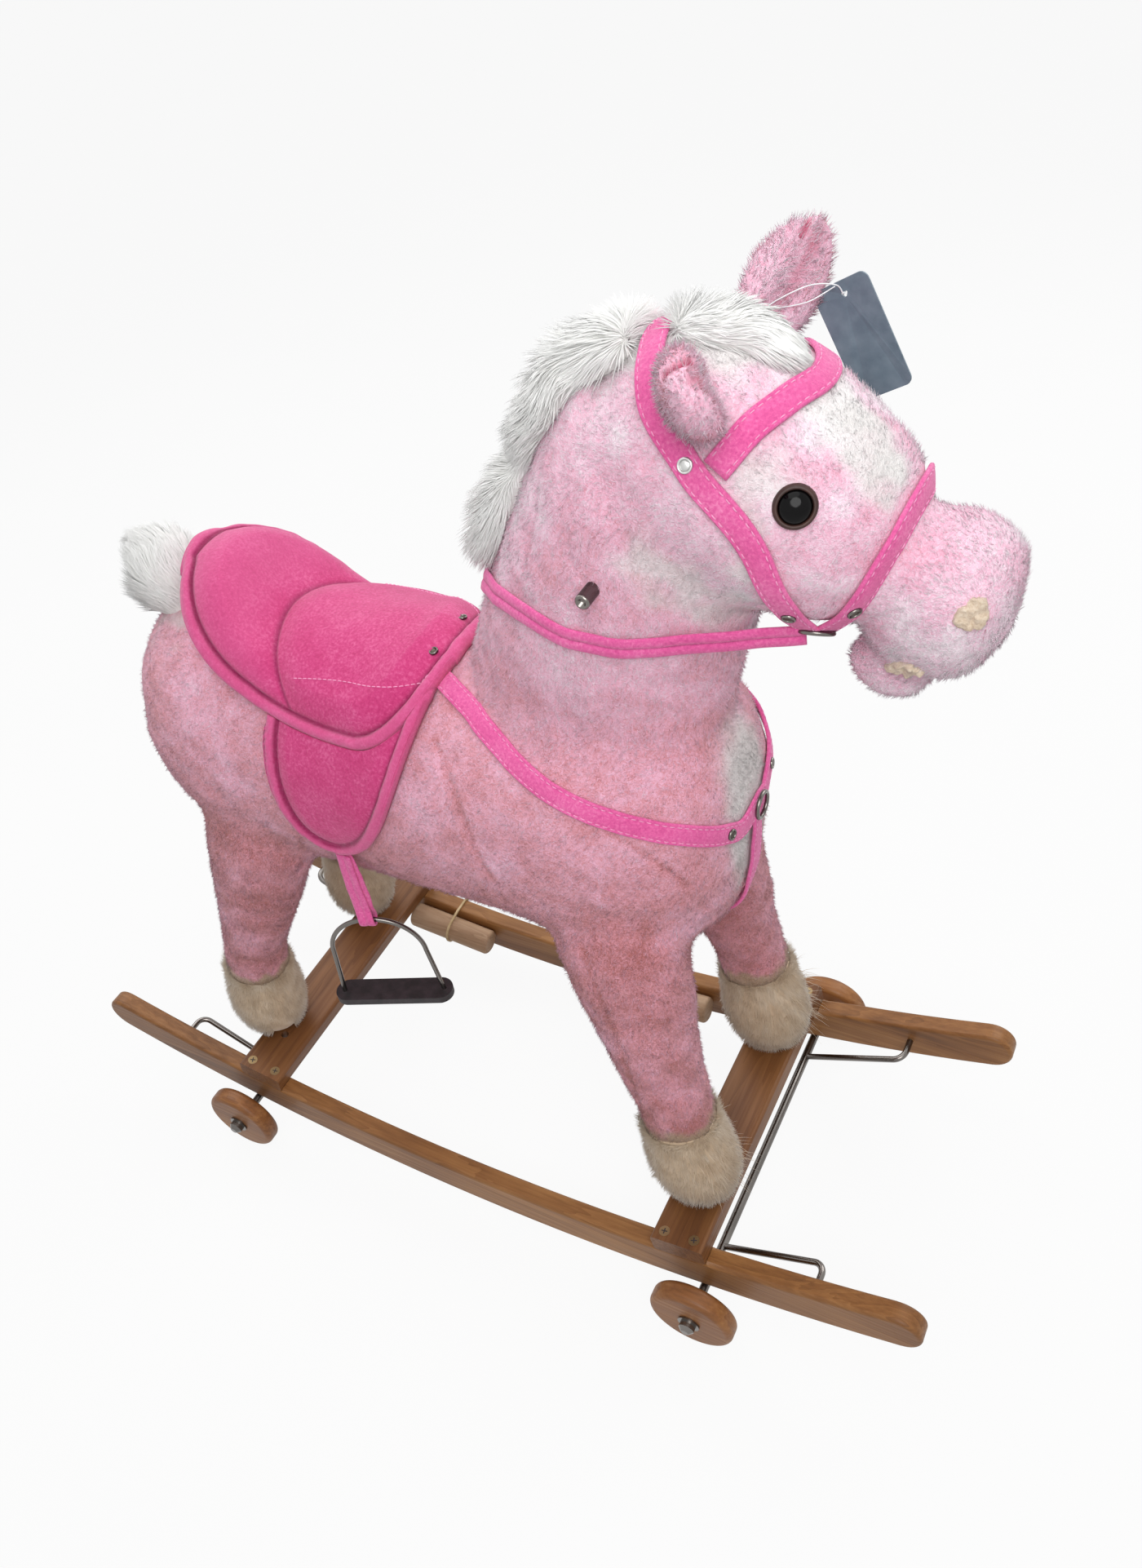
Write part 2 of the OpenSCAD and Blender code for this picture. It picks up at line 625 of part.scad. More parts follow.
module leg(e, s) {
    color("pink") difference() {
        at_beam(e) loft(leg_rows(e, s), limb_sides);
        loft(body_rows, plush_sides);
        post_bar(e, s, soft_gap);
        rail(e, soft_gap);
    }
}
module hoof(e, s) {
    color("ivory") difference() {
        at_beam(e) loft(hoof_rows(e, s), limb_sides);
        post_bar(e, s, soft_gap);
    }
}
ear_station = 2.4;
ear_angle = 50;
ear_roll = 65;
ear_rise = 32;
ear_out = 72;
ear_sink_share = 0.1;
module ear(s) {
    base = off_form(head_rows, ear_station, ear_angle, -ear_sink_share * ear_len);
    color("pink") difference() {
        mirror([0, s > 0 ? 0 : 1, 0]) translate(base) rotate([ear_roll, -ear_rise, ear_out])
            loft(ear_rows, limb_sides);
        loft(head_rows, plush_sides);
    }
}
module mane() {
    color("white") difference() {
        loft(mane_rows, limb_sides);
        loft(neck_rows, plush_sides);
        loft(head_rows, plush_sides);
    }
}
module forelock() {
    color("white") difference() {
        loft(forelock_rows, limb_sides);
        loft(head_rows, plush_sides);
    }
}
module tail() {
    color("white") difference() {
        loft(tail_rows, limb_sides);
        loft(body_rows, plush_sides);
    }
}
eye_station = 3.75;
eye_angle = 28;
eye_rim_share = 0.15;
eye_dome_share = 0.72;
module eyes() {
    color("saddlebrown") for (a = [eye_angle, 180 - eye_angle])
        facing(off_form(head_rows, eye_station, a, soft_gap), form_normal(head_rows, eye_station, a))
            rotate_extrude() {
                square([eye_d / 2, eye_d * eye_rim_share]);
                intersection() {
                    circle(d = eye_d * eye_dome_share);
                    square([eye_d / 2, eye_d / 2]);
                }
            }
}
nostril_station = 3.4;
nostril_angle = 22;
nostril_d = 12;
nostril_t = 1.5;
module nostrils() {
    color("bisque") for (a = [nostril_angle, 180 - nostril_angle])
        facing(off_form(muzzle_rows, nostril_station, a, soft_gap),
            form_normal(muzzle_rows, nostril_station, a))
            cylinder(d = nostril_d, h = nostril_t);
}

// Saddle laid over the back; s runs from the rear edge to the front, v across from flank to flank
saddle_rear_x = -165;
seat_rows_n = 18;
seat_cols_n = 18;
seat_peak_share = 0.74;
seat_power = 1.95;
cantle_place_share = 0.17;
cantle_curl_share = 0.17;
cantle_width_share = 0.13;
edge_thin_share = 0.42;
seat_lift = 4 * soft_gap;
flap_lift = 4 * soft_gap;
function bulge(t, peak, p, f) =
    let (q = t < peak ? (peak - t) / peak : (t - peak) / (1 - peak), w = t < peak ? p : f)
    pow(max(0, 1 - pow(q, w)), 1 / w);
function station_at(t, x) =
    let (i = max([for (k = [0 : len(t) - 2]) t[k][0] <= x ? k : 0]))
    i + (x - t[i][0]) / (t[i + 1][0] - t[i][0]);
function seat_wrap(s) =
    saddle_wrap * max(bulge(s, seat_peak_share, seat_power, seat_power), edge_thin_share / 2);
function seat_thick(s, v) =
    let (rim = 1 - pow(max(abs(v), abs(2 * s - 1)), 6),
         roll = exp(-pow((s - cantle_place_share - cantle_curl_share * v * v) / cantle_width_share, 2)))
    seat_t * (edge_thin_share + (1 - edge_thin_share) * rim) + cantle_h * roll * (1 - v * v * edge_thin_share);
function on_back(s, wrap, off) =
    off_form(body_rows, station_at(body_rows, saddle_rear_x + s * saddle_len), 90 + wrap, off);
// Closed pad between an inner and an outer sheet of points, both [row][column]
module pad(inner, outer) {
    r = len(inner);
    c = len(inner[0]);
    points = concat([for (a = inner, p = a) p], [for (a = outer, p = a) p]);
    o = r * c;
    sheets = [for (i = [0 : r - 2], j = [0 : c - 2])
        let (a = i * c + j, b = a + 1, d = a + c, e = d + 1)
        each [[a, d, b], [b, d, e], [o + a, o + b, o + d], [o + b, o + e, o + d]]];
    edge = concat([for (j = [0 : c - 2]) j], [for (i = [0 : r - 2]) i * c + c - 1],
        [for (j = [c - 1 : -1 : 1]) (r - 1) * c + j], [for (i = [r - 1 : -1 : 1]) i * c]);
    n = len(edge);
    rim = [for (k = [0 : n - 1])
        let (a = edge[k], b = edge[(k + 1) % n])
        each [[a, b, o + a], [b, o + b, o + a]]];
    polyhedron(points, concat(sheets, rim));
}
module saddle_seat() {
    grid = [for (i = [0 : seat_rows_n]) let (s = i / seat_rows_n)
        [for (j = [0 : seat_cols_n]) [s, 1 - 2 * j / seat_cols_n]]];
    inner = [for (r = grid) [for (q = r) on_back(q[0], q[1] * seat_wrap(q[0]), seat_lift)]];
    outer = [for (r = grid)
        [for (q = r) on_back(q[0], q[1] * seat_wrap(q[0]), seat_lift + seat_thick(q[0], q[1]))]];
    color("deeppink") pad(inner, outer);
}
flap_from_share = 0.41;
flap_to_share = 0.97;
flap_peak_share = 0.36;
flap_power = 2.8;
flap_front_power = 1.45;
flap_drop = 102;
flap_gap_angle = 1.4;
flap_rows_n = 16;
flap_cols_n = 8;
function flap_end(s) = seat_wrap(s) + flap_gap_angle
    + (flap_drop - saddle_wrap) * max(0.06, bulge((s - flap_from_share) / (flap_to_share - flap_from_share),
        flap_peak_share, flap_power, flap_front_power));
module saddle_flap(s) {
    grid = [for (i = [0 : flap_rows_n])
        let (q = flap_from_share + (flap_to_share - flap_from_share) * (1 - cos(180 * i / flap_rows_n)) / 2,
             a = seat_wrap(q) + flap_gap_angle, b = flap_end(q))
        [for (j = [0 : flap_cols_n]) [q, a + (b - a) * j / flap_cols_n]]];
    inner = [for (r = grid) [for (q = r) on_back(q[0], -q[1], flap_lift)]];
    outer = [for (r = grid) [for (q = r) on_back(q[0], -q[1], flap_lift + flap_t)]];
    color("hotpink") mirror([0, s > 0 ? 0 : 1, 0]) pad(inner, outer);
}
stud_d = 8;
stud_t = 2;
stud_place_share = 0.93;
stud_wrap_share = 0.3;

// Stirrups hang from the tips of the saddle flaps
stirrup_turn = 23;
strap_place_share = 0.62;
strap_t = 3;
strap_drop_gap = 1.2;
loop_gap = 0.9;
tread_t = 6;
tread_d = 20;
tread_over = 5;
strap_top = let (p = on_back(strap_place_share, -flap_end(strap_place_share), flap_lift + flap_t / 2))
    [p[0], p[1], p[2] - strap_drop_gap - strap_t / 2];
stirrup_top = strap_top - [0, 0, strap_len];
arch_flare = 4;
loop_d = stirrup_wire_d + 2 * loop_gap + 2 * strap_t;
module stirrup_frame(s) {
    mirror([0, s > 0 ? 0 : 1, 0]) translate(stirrup_top) rotate(-stirrup_turn) children();
}
module stirrup_strap(s) {
    color("hotpink") mirror([0, s > 0 ? 0 : 1, 0]) translate(strap_top) {
        translate([-stirrup_strap_w / 2, 0, 0]) rotate([0, 90, 0]) cylinder(d = strap_t, h = stirrup_strap_w);
        translate([-stirrup_strap_w / 2, -strap_t / 2, -strap_len + loop_d / 2 - strap_t])
            cube([stirrup_strap_w, strap_t, strap_len - loop_d / 2 + strap_t]);
        translate([0, 0, -strap_len]) rotate(-stirrup_turn) rotate([0, 90, 0]) difference() {
            cylinder(d = loop_d, h = stirrup_strap_w, center = true);
            cylinder(d = loop_d - 2 * strap_t, h = 2 * stirrup_strap_w, center = true);
        }
    }
}
leg_drop = stirrup_h - arch_r - tread_t;
flare_a = atan2(arch_flare, leg_drop);
tread_half = arch_r + arch_flare + stirrup_wire_d / 2 + tread_over;
module wire_arch(d, sink) {
    rotate([90, 0, 0]) translate([0, -arch_r, 0]) {
        rotate_extrude(angle = 180) translate([arch_r, 0]) circle(d = d);
        for (x = [-1, 1])
            translate([x * arch_r, 0, 0]) rotate(x * flare_a) rotate([90, 0, 0])
                cylinder(d = d, h = (leg_drop + sink) / cos(flare_a));
    }
}
module stirrup(s) {
    color("silver") stirrup_frame(s) wire_arch(stirrup_wire_d, tread_t / 2);
}
module stirrup_tread(s) {
    color("dimgray") stirrup_frame(s) difference() {
        translate([0, 0, -stirrup_h]) linear_extrude(tread_t)
            rounded(2 * tread_half, tread_d, tread_d / 2 - fit_gap);
        wire_arch(stirrup_wire_d + 2 * fit_gap, tread_t / 2 + fit_gap);
    }
}

// Bridle, reins and breast collar as [station, angle] routes on the head, neck and body
headstall_half_shares = [[4.38, -50], [4.22, -34], [3.45, 6], [2.60, 24], [1.85, 46], [1.45, 90]];
browband_half_shares = [[2.88, 27], [3.10, 52], [3.34, 76], [3.40, 90]];
noseband_half_shares = [[5.00, -50], [5.28, -22], [5.50, 25], [5.52, 90]];
collar_half_shares = [[5.70, 66], [6.20, 50], [6.70, 38], [7.20, 32], [7.80, 28], [8.60, 26], [9.30, 24],
    [9.75, 32], [9.90, 90]];
rein_half_shares = [[2.75, -42], [2.50, -20], [2.32, 4], [2.20, 28], [2.00, 58], [1.75, 90]];
ring_station_share = 4.66;
ring_angle = -58;
ring_r = 8;
ring_wire_d = 2.6;
ring_lift = 2;
chest_lift = 3 * soft_gap + 3 / 2 * tack_t;
strap_steps = 3;
rivet_d = 7;
rivet_t = 1.6;
module headstall() {
    color("hotpink") webbing(lie_on(head_rows, whole_route(headstall_half_shares), 2 * soft_gap, strap_steps),
        tack_w, tack_t);
}
module browband() {
    color("hotpink") webbing(lie_on(head_rows, whole_route(browband_half_shares), 2 * soft_gap, strap_steps),
        tack_w, tack_t);
}
module noseband() {
    color("hotpink") webbing(lie_on(head_rows, whole_route(noseband_half_shares), 2 * soft_gap, strap_steps),
        tack_w, tack_t);
}
function ring_place(a) = off_form(head_rows, ring_station_share, a, ring_lift + ring_wire_d);
module tack_ring() {
    rotate_extrude() translate([ring_r, 0]) circle(d = ring_wire_d);
}
module tack_rings() {
    front = collar_half_shares[len(collar_half_shares) - 1];
    color("silver") {
        for (a = [ring_angle, 180 - ring_angle])
            facing(ring_place(a), form_normal(head_rows, ring_station_share, a)) tack_ring();
        facing(off_form(body_rows, front[0], front[1], chest_lift + ring_wire_d / 2), [1, 0, 0]) tack_ring();
    }
}
rein_sag = 10;
module reins() {
    lying = lie_on(neck_rows, whole_route(rein_half_shares), 2 * soft_gap, strap_steps);
    last = len(lying) - 1;
    function span(place, ring, f) =
        [place[0] + f * (ring + [-ring_r - ring_wire_d, 0, 0] - place[0]) - [0, 0, rein_sag * 4 * f * (1 - f)],
         place[1]];
    left = [for (f = [1 : -0.25 : 0.25]) span(lying[0], ring_place(ring_angle), f)];
    right = [for (f = [0.25 : 0.25 : 1]) span(lying[last], ring_place(180 - ring_angle), f)];
    color("hotpink") webbing(concat(left, lying, right), rein_w, tack_t);
}
chest_shares = [[9.88, -90], [9.60, -90], [9.00, -90], [8.20, -90], [7.50, -90]];
module breast_collar() {
    front = collar_half_shares[len(collar_half_shares) - 1];
    lift = 2 * soft_gap + tack_t / 2;
    color("hotpink") {
        webbing(lie_on(body_rows, whole_route(collar_half_shares), 2 * soft_gap, strap_steps), tack_w, tack_t);
        webbing(concat([[off_form(body_rows, front[0], front[1], lift), [1, 0, 0]]],
            lie_on(body_rows, chest_shares, lift, strap_steps)), tack_w, tack_t);
    }
}
rivet_places = [[head_rows, headstall_half_shares[3]], [head_rows, headstall_half_shares[1]],
    [head_rows, noseband_half_shares[1]], [body_rows, collar_half_shares[6]]];
module tack_rivets() {
    color("silver") {
        for (v = [-1, 1]) {
            wrap = v * stud_wrap_share * seat_wrap(stud_place_share);
            rise = seat_lift + 2 * soft_gap + seat_thick(stud_place_share, v * stud_wrap_share);
            station = station_at(body_rows, saddle_rear_x + stud_place_share * saddle_len);
            facing(on_back(stud_place_share, wrap, rise), form_normal(body_rows, station, 90 + wrap))
                cylinder(d = stud_d, h = stud_t);
        }
        for (r = rivet_places, m = [0, 1]) {
            a = m == 0 ? r[1][1] : 180 - r[1][1];
            facing(off_form(r[0], r[1][0], a, 3 * soft_gap + tack_t), form_normal(r[0], r[1][0], a))
                cylinder(d = rivet_d, h = rivet_t);
        }
    }
}

// Hand grips tied to the inner face of the left rocker until they are fitted on the handle rod
rear_grip_x = -143;
front_grip_x = 84;
grip_hole_d = rod_d + 2 * fit_gap;
grip_hole = 26;
grip_edge_r = 3;
grip_lift = 3;
band_t = 1.6;
band_w = 2;
grip_off = rocker_t / 2 + grip_d / 2 + bear_gap;
module at_grip(x) {
    translate([0, rocker_gauge / 2, rock_cz]) rotate([0, -asin(x / rock_mid_r), 0])
        translate([0, 0, -rock_mid_r + grip_lift]) children();
}
module hand_grips() {
    color("burlywood") for (x = [rear_grip_x, front_grip_x])
        at_grip(x) translate([0, -grip_off, 0]) rotate([0, 90, 0]) difference() {
            rotate_extrude() half_rounded(grip_d, grip_len, grip_edge_r);
            translate([0, 0, -grip_len / 2 - overrun]) cylinder(d = grip_hole_d, h = grip_hole + overrun);
        }
}
module band_outline(grow) {
    hull() {
        translate([-grip_off, 0]) circle(d = grip_d + 2 * grow);
        translate([-rocker_t / 2 - grow, -rocker_h / 2 - grip_lift - grow])
            square([rocker_t + 2 * grow, rocker_h + 2 * grow]);
    }
}
module grip_bands() {
    color("ivory") for (x = [rear_grip_x, front_grip_x])
        at_grip(x) rotate([90, 0, 90]) linear_extrude(band_w) difference() {
            band_outline(bear_gap + band_t);
            band_outline(bear_gap);
        }
}

rocker(1);  // rocker_left
rocker(-1);  // rocker_right
crossbeam(1);  // front_crossbeam
crossbeam(-1);  // rear_crossbeam
crossbeam_screws();
leg_bolts();
axle(1);  // front_axle
axle(-1);  // rear_axle
wheel(1, 1);  // wheel_front_left
wheel(1, -1);  // wheel_front_right
wheel(-1, 1);  // wheel_rear_left
wheel(-1, -1);  // wheel_rear_right
axle_caps(1);  // front_axle_caps
axle_caps(-1);  // rear_axle_caps
axle_washers(1);  // front_axle_washers
axle_washers(-1);  // rear_axle_washers
leg_posts();
shoulder_rail();
hip_rail();
spine_board();
neck_bar();
handle_rod();
plush_body();
plush_neck();
plush_head();
muzzle();
lower_jaw();
ear(1);  // ear_left
ear(-1);  // ear_right
leg(1, 1);  // leg_front_left
leg(1, -1);  // leg_front_right
leg(-1, 1);  // leg_rear_left
leg(-1, -1);  // leg_rear_right
hoof(1, 1);  // hoof_front_left
hoof(1, -1);  // hoof_front_right
hoof(-1, 1);  // hoof_rear_left
hoof(-1, -1);  // hoof_rear_right
mane();
forelock();
tail();
eyes();
nostrils();
saddle_seat();
saddle_flap(1);  // saddle_flap_left
saddle_flap(-1);  // saddle_flap_right
stirrup_strap(1);  // stirrup_strap_left
stirrup_strap(-1);  // stirrup_strap_right
stirrup(1);  // stirrup_left
stirrup(-1);  // stirrup_right
stirrup_tread(1);  // stirrup_tread_left
stirrup_tread(-1);  // stirrup_tread_right
headstall();
browband();
noseband();
tack_rings();
tack_rivets();
reins();
breast_collar();
hand_grips();
grip_bands();
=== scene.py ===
import json
import math

import bpy
import numpy as np
from mathutils import Matrix, Vector
from mathutils.bvhtree import BVHTree


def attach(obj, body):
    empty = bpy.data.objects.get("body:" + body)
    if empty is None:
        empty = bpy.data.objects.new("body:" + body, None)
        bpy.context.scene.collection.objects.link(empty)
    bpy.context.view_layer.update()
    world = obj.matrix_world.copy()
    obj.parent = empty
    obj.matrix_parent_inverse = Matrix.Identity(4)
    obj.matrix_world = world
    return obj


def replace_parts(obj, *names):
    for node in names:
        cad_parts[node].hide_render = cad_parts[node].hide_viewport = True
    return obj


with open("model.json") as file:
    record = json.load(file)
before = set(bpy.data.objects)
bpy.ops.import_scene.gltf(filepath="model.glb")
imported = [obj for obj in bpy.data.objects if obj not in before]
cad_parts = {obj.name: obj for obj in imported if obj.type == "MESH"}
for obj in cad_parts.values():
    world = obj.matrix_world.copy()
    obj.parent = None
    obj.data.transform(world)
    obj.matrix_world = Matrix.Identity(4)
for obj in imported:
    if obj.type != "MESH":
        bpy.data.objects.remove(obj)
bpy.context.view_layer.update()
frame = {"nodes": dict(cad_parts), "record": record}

MM = 0.001
HORSE = "frame_and_horse"
nodes = frame["nodes"]
rng = np.random.default_rng(11)
UP = np.array([0.0, 0.0, 1.0])


# Camera at the photograph's place
def unit(v):
    v = np.asarray(v, float)
    return v / np.maximum(np.linalg.norm(v, axis=-1, keepdims=True), 1e-12)


PHOTO_W, PHOTO_H = 1400, 1922
FOCAL_PX, CENTRE_PX = 1461.6, (615.8, 1066.95)
EYE = np.array([0.4092, -0.4841, 0.9106])
RIGHT = unit([0.86187, 0.47804, -0.16927])
FORWARD = np.array([-0.4442, 0.5506, -0.7068])
FORWARD = unit(FORWARD - RIGHT * (FORWARD @ RIGHT))
SENSOR_MM = 36.0
lens = bpy.data.cameras.new("camera")
lens.sensor_width = SENSOR_MM
lens.lens = FOCAL_PX * SENSOR_MM / PHOTO_H
lens.shift_x = (PHOTO_W / 2 - CENTRE_PX[0]) / PHOTO_H
lens.shift_y = (CENTRE_PX[1] - PHOTO_H / 2) / PHOTO_H
lens.clip_start = 0.02
camera = bpy.data.objects.new("camera", lens)
bpy.context.scene.collection.objects.link(camera)
turn = np.stack([RIGHT, np.cross(RIGHT, FORWARD), -FORWARD], axis=1)
camera.matrix_world = Matrix.Translation(EYE) @ Matrix(turn.tolist()).to_4x4()
bpy.context.scene.camera = camera


# Materials
def rgb(r, g, b):
    """Linear colour from the 0 to 255 numbers that a screen shows."""
    c = np.array([r, g, b]) / 255
    return (*np.where(c < 0.04045, c / 12.92, ((c + 0.055) / 1.055) ** 2.4).tolist(), 1.0)


class Nodes:
    """A node tree, written with one call for each node."""

    def __init__(self, tree):
        self.tree = tree

    def set(self, node, inputs):
        for key, value in inputs.items():
            socket = node.inputs[key]
            if isinstance(value, bpy.types.NodeSocket):
                self.tree.links.new(value, socket)
            else:
                socket.default_value = value

    def node(self, kind, inputs=None, **props):
        n = self.tree.nodes.new("ShaderNode" + kind)
        for key, value in props.items():
            setattr(n, key, value)
        self.set(n, inputs or {})
        return n

    def maths(self, operation, a, b=0.0):
        n = self.node("Math", operation=operation)
        self.set(n, {0: a, 1: b})
        return n.outputs[0]

    def seen(self):
        """1 for the rays that come straight, mirrored or refracted from the camera."""
        path = self.node("LightPath")
        straight = self.maths("MAXIMUM", path.outputs["Is Camera Ray"], path.outputs["Is Glossy Ray"])
        return self.maths("MAXIMUM", straight, path.outputs["Is Transmission Ray"])


class Paint(Nodes):
    """A material on a principled shader; sockets are named with _ for a space."""

    def __init__(self, name, **sockets):
        self.material = bpy.data.materials.new(name)
        self.material.use_nodes = True
        super().__init__(self.material.node_tree)
        self.bsdf = self.tree.nodes["Principled BSDF"]
        self.finish(**sockets)
        self.place = self.node("TexCoord").outputs["Object"]

    def stretched(self, scale, turned=(0, 0, 0)):
        return self.node("Mapping", {"Vector": self.place, "Scale": scale, "Rotation": turned}).outputs[0]

    def noise(self, scale, detail=3.0, rough=0.55, place=None, warp=0.0):
        return self.node("TexNoise", {"Vector": place or self.place, "Scale": scale, "Detail": detail,
                                      "Roughness": rough, "Distortion": warp}).outputs[0]

    def ramp(self, value, *stops):
        n = self.node("ValToRGB", {"Fac": value})
        marks = n.color_ramp.elements
        while len(marks) < len(stops):
            marks.new(0.5)
        for mark, (at, colour) in zip(marks, stops):
            mark.position = at
            mark.color = colour if len(colour) == 4 else (*colour, 1.0)
        return n.outputs[0]

    def steps(self, value, low, high, to_low=0.0, to_high=1.0):
        return self.node("MapRange", {"Value": value, "From Min": low, "From Max": high,
                                      "To Min": to_low, "To Max": to_high}).outputs[0]

    def weigh(self, a, share_a, b, share_b):
        """Sum of two values, each times its share."""
        return self.maths("ADD", self.maths("MULTIPLY", a, share_a), self.maths("MULTIPLY", b, share_b))

    def mix(self, share, a, b):
        n = self.node("Mix", data_type="RGBA")
        self.set(n, {0: share, 6: a, 7: b})
        return n.outputs[2]

    def mask(self, name):
        return self.node("Attribute", attribute_name=name).outputs["Fac"]

    def bump(self, height, strength, distance):
        return self.node("Bump", {"Height": height, "Strength": strength, "Distance": distance}).outputs[0]

    def finish(self, **sockets):
        self.set(self.bsdf, {k.replace("_", " "): v for k, v in sockets.items()})
        return self.material


def plush_paint(name, sheen):
    """Short pink pile; marks on the mesh say where it is white, cream or rose, and its tone, which carries painted
    shade and painted sheen.
    """
    p = Paint(name, Sheen_Weight=sheen, Sheen_Roughness=0.45, Sheen_Tint=(1.0, 0.93, 0.96, 1.0),
              Specular_IOR_Level=0.15)
    crush = p.noise(26, 4, 0.6, warp=0.9)
    fleck = p.noise(520, 3, 0.6, warp=1.4)
    fibre = p.noise(1500, 2, 0.7)
    tone = p.maths("ADD", p.steps(fleck, 0.3, 0.7, -0.17, 0.17), p.steps(crush, 0.3, 0.7, -0.06, 0.06))
    tone = p.maths("ADD", tone, p.mask("tone"))
    # The deep, browner end of the ramp stands for the warm shade that the tone paints on the legs, under the belly
    # and in the seams.
    pink = p.ramp(tone, (0.05, rgb(178, 108, 106)), (0.3, rgb(225, 153, 165)), (0.52, rgb(244, 184, 207)),
                  (0.72, rgb(248, 209, 227)), (0.98, rgb(254, 240, 247)))
    white = p.ramp(tone, (0.1, rgb(206, 196, 194)), (0.6, rgb(234, 230, 228)), (0.95, rgb(248, 246, 245)))
    cream = p.ramp(tone, (0.1, rgb(162, 132, 106)), (0.6, rgb(210, 186, 160)), (0.95, rgb(236, 220, 200)))
    rose = p.ramp(tone, (0.1, rgb(150, 40, 74)), (0.9, rgb(222, 110, 140)))
    colour = p.mix(p.mask("white"), pink, white)
    colour = p.mix(p.mask("cream"), colour, cream)
    colour = p.mix(p.mask("rose"), colour, rose)
    height = p.weigh(fleck, 0.6, fibre, 0.4)
    return p.finish(Base_Color=colour, Roughness=p.steps(fleck, 0.2, 0.8, 0.78, 0.95),
                    Normal=p.bump(height, 0.75, 0.002))


def fur_paint(name, dark, middle, light, sheen=0.3):
    """Long pile; tone differs from lock to lock and runs from deeper roots to paler tips, as painted shade and
    painted sheen.
    """
    p = Paint(name, Sheen_Weight=sheen, Sheen_Roughness=0.4, Specular_IOR_Level=0.2)
    tone = p.maths("ADD", p.mask("tone"), p.steps(p.noise(60, 3), 0.3, 0.7, -0.1, 0.1))
    colour = p.ramp(tone, (0.05, rgb(*dark)), (0.45, rgb(*middle)), (0.9, rgb(*light)))
    return p.finish(Base_Color=colour, Roughness=p.steps(p.noise(300, 2), 0.3, 0.7, 0.6, 0.8))


def felt_paint(name, dark, middle, light, loops, depth):
    """Needled felt or terry: tangled fibre with paler fluff on top."""
    p = Paint(name, Sheen_Weight=0.35, Sheen_Roughness=0.5, Sheen_Tint=(1.0, 0.8, 0.9, 1.0),
              Specular_IOR_Level=0.12)
    lump = p.noise(loops, 4, 0.65, warp=0.4)
    cloud = p.noise(38, 3, 0.6)
    thread = p.noise(loops * 2.6, 2, 0.7, p.stretched((1, 1.7, 0.8), (0.5, 0.2, 0.9)), 1.2)
    tone = p.weigh(lump, 0.7, cloud, 0.3)
    colour = p.ramp(tone, (0.28, rgb(*dark)), (0.5, rgb(*middle)), (0.74, rgb(*light)))
    colour = p.mix(p.maths("MULTIPLY", p.mask("fluff"), 0.55), colour, rgb(*light))
    # Painted shade: the crease mark darkens the felt in its seams and folds
    colour = p.mix(p.maths("MULTIPLY", p.mask("crease"), 0.8), colour, rgb(*[0.62 * c for c in dark]))
    height = p.weigh(lump, 0.65, thread, 0.35)
    return p.finish(Base_Color=colour, Roughness=p.steps(lump, 0.3, 0.7, 0.8, 0.97),
                    Normal=p.bump(height, 0.6, depth))


def wood_paint(name, along, dark, middle, light, gloss=0.42):
    """Lacquered wood with its grain along one axis."""
    p = Paint(name, Coat_Weight=0.1, Coat_Roughness=0.3, Specular_IOR_Level=0.28)
    long = [26.0, 26.0, 26.0]
    long[along] = 1.6
    fine = [420.0, 420.0, 420.0]
    fine[along] = 9.0
    wave = p.noise(1.0, 4, 0.55, p.stretched(long), 0.7)
    line = p.noise(1.0, 3, 0.6, p.stretched(fine))
    stain = p.noise(9, 3, 0.5)
    rings = p.maths("FRACT", p.maths("MULTIPLY", wave, 6.0))
    tone = p.weigh(wave, 0.5, line, 0.28)
    tone = p.maths("ADD", tone, p.maths("MULTIPLY", rings, 0.1))
    tone = p.maths("ADD", tone, p.steps(stain, 0.3, 0.7, -0.02, 0.16))
    colour = p.ramp(tone, (0.3, rgb(*dark)), (0.5, rgb(*middle)), (0.72, rgb(*light)))
    pores = p.steps(line, 0.3, 0.5)
    return p.finish(Base_Color=colour, Roughness=p.steps(line, 0.3, 0.7, gloss + 0.12, gloss),
                    Normal=p.bump(pores, 0.16, 0.0006))


def steel_paint(name, colour, rough):
    """Plated steel with fine scuffs and dull patches."""
    p = Paint(name, Metallic=1.0)
    scuff = p.noise(900, 2, 0.6)
    dull = p.noise(26, 2, 0.5)
    shade = [0.86 * c for c in colour]
    return p.finish(Base_Color=p.ramp(dull, (0.35, rgb(*shade)), (0.65, rgb(*colour))),
                    Roughness=p.steps(dull, 0.3, 0.7, rough + 0.06, rough), Normal=p.bump(scuff, 0.08, 0.0003))


def plastic_paint(name, dark, light, rough, specular=0.5):
    """Moulded plastic or rubber with a fine grain."""
    p = Paint(name, Specular_IOR_Level=specular)
    grain = p.noise(700, 3, 0.6)
    colour = p.ramp(p.noise(120, 3), (0.35, rgb(*dark)), (0.65, rgb(*light)))
    return p.finish(Base_Color=colour, Roughness=p.steps(grain, 0.3, 0.7, rough, rough + 0.1),
                    Normal=p.bump(grain, 0.08, 0.0003))


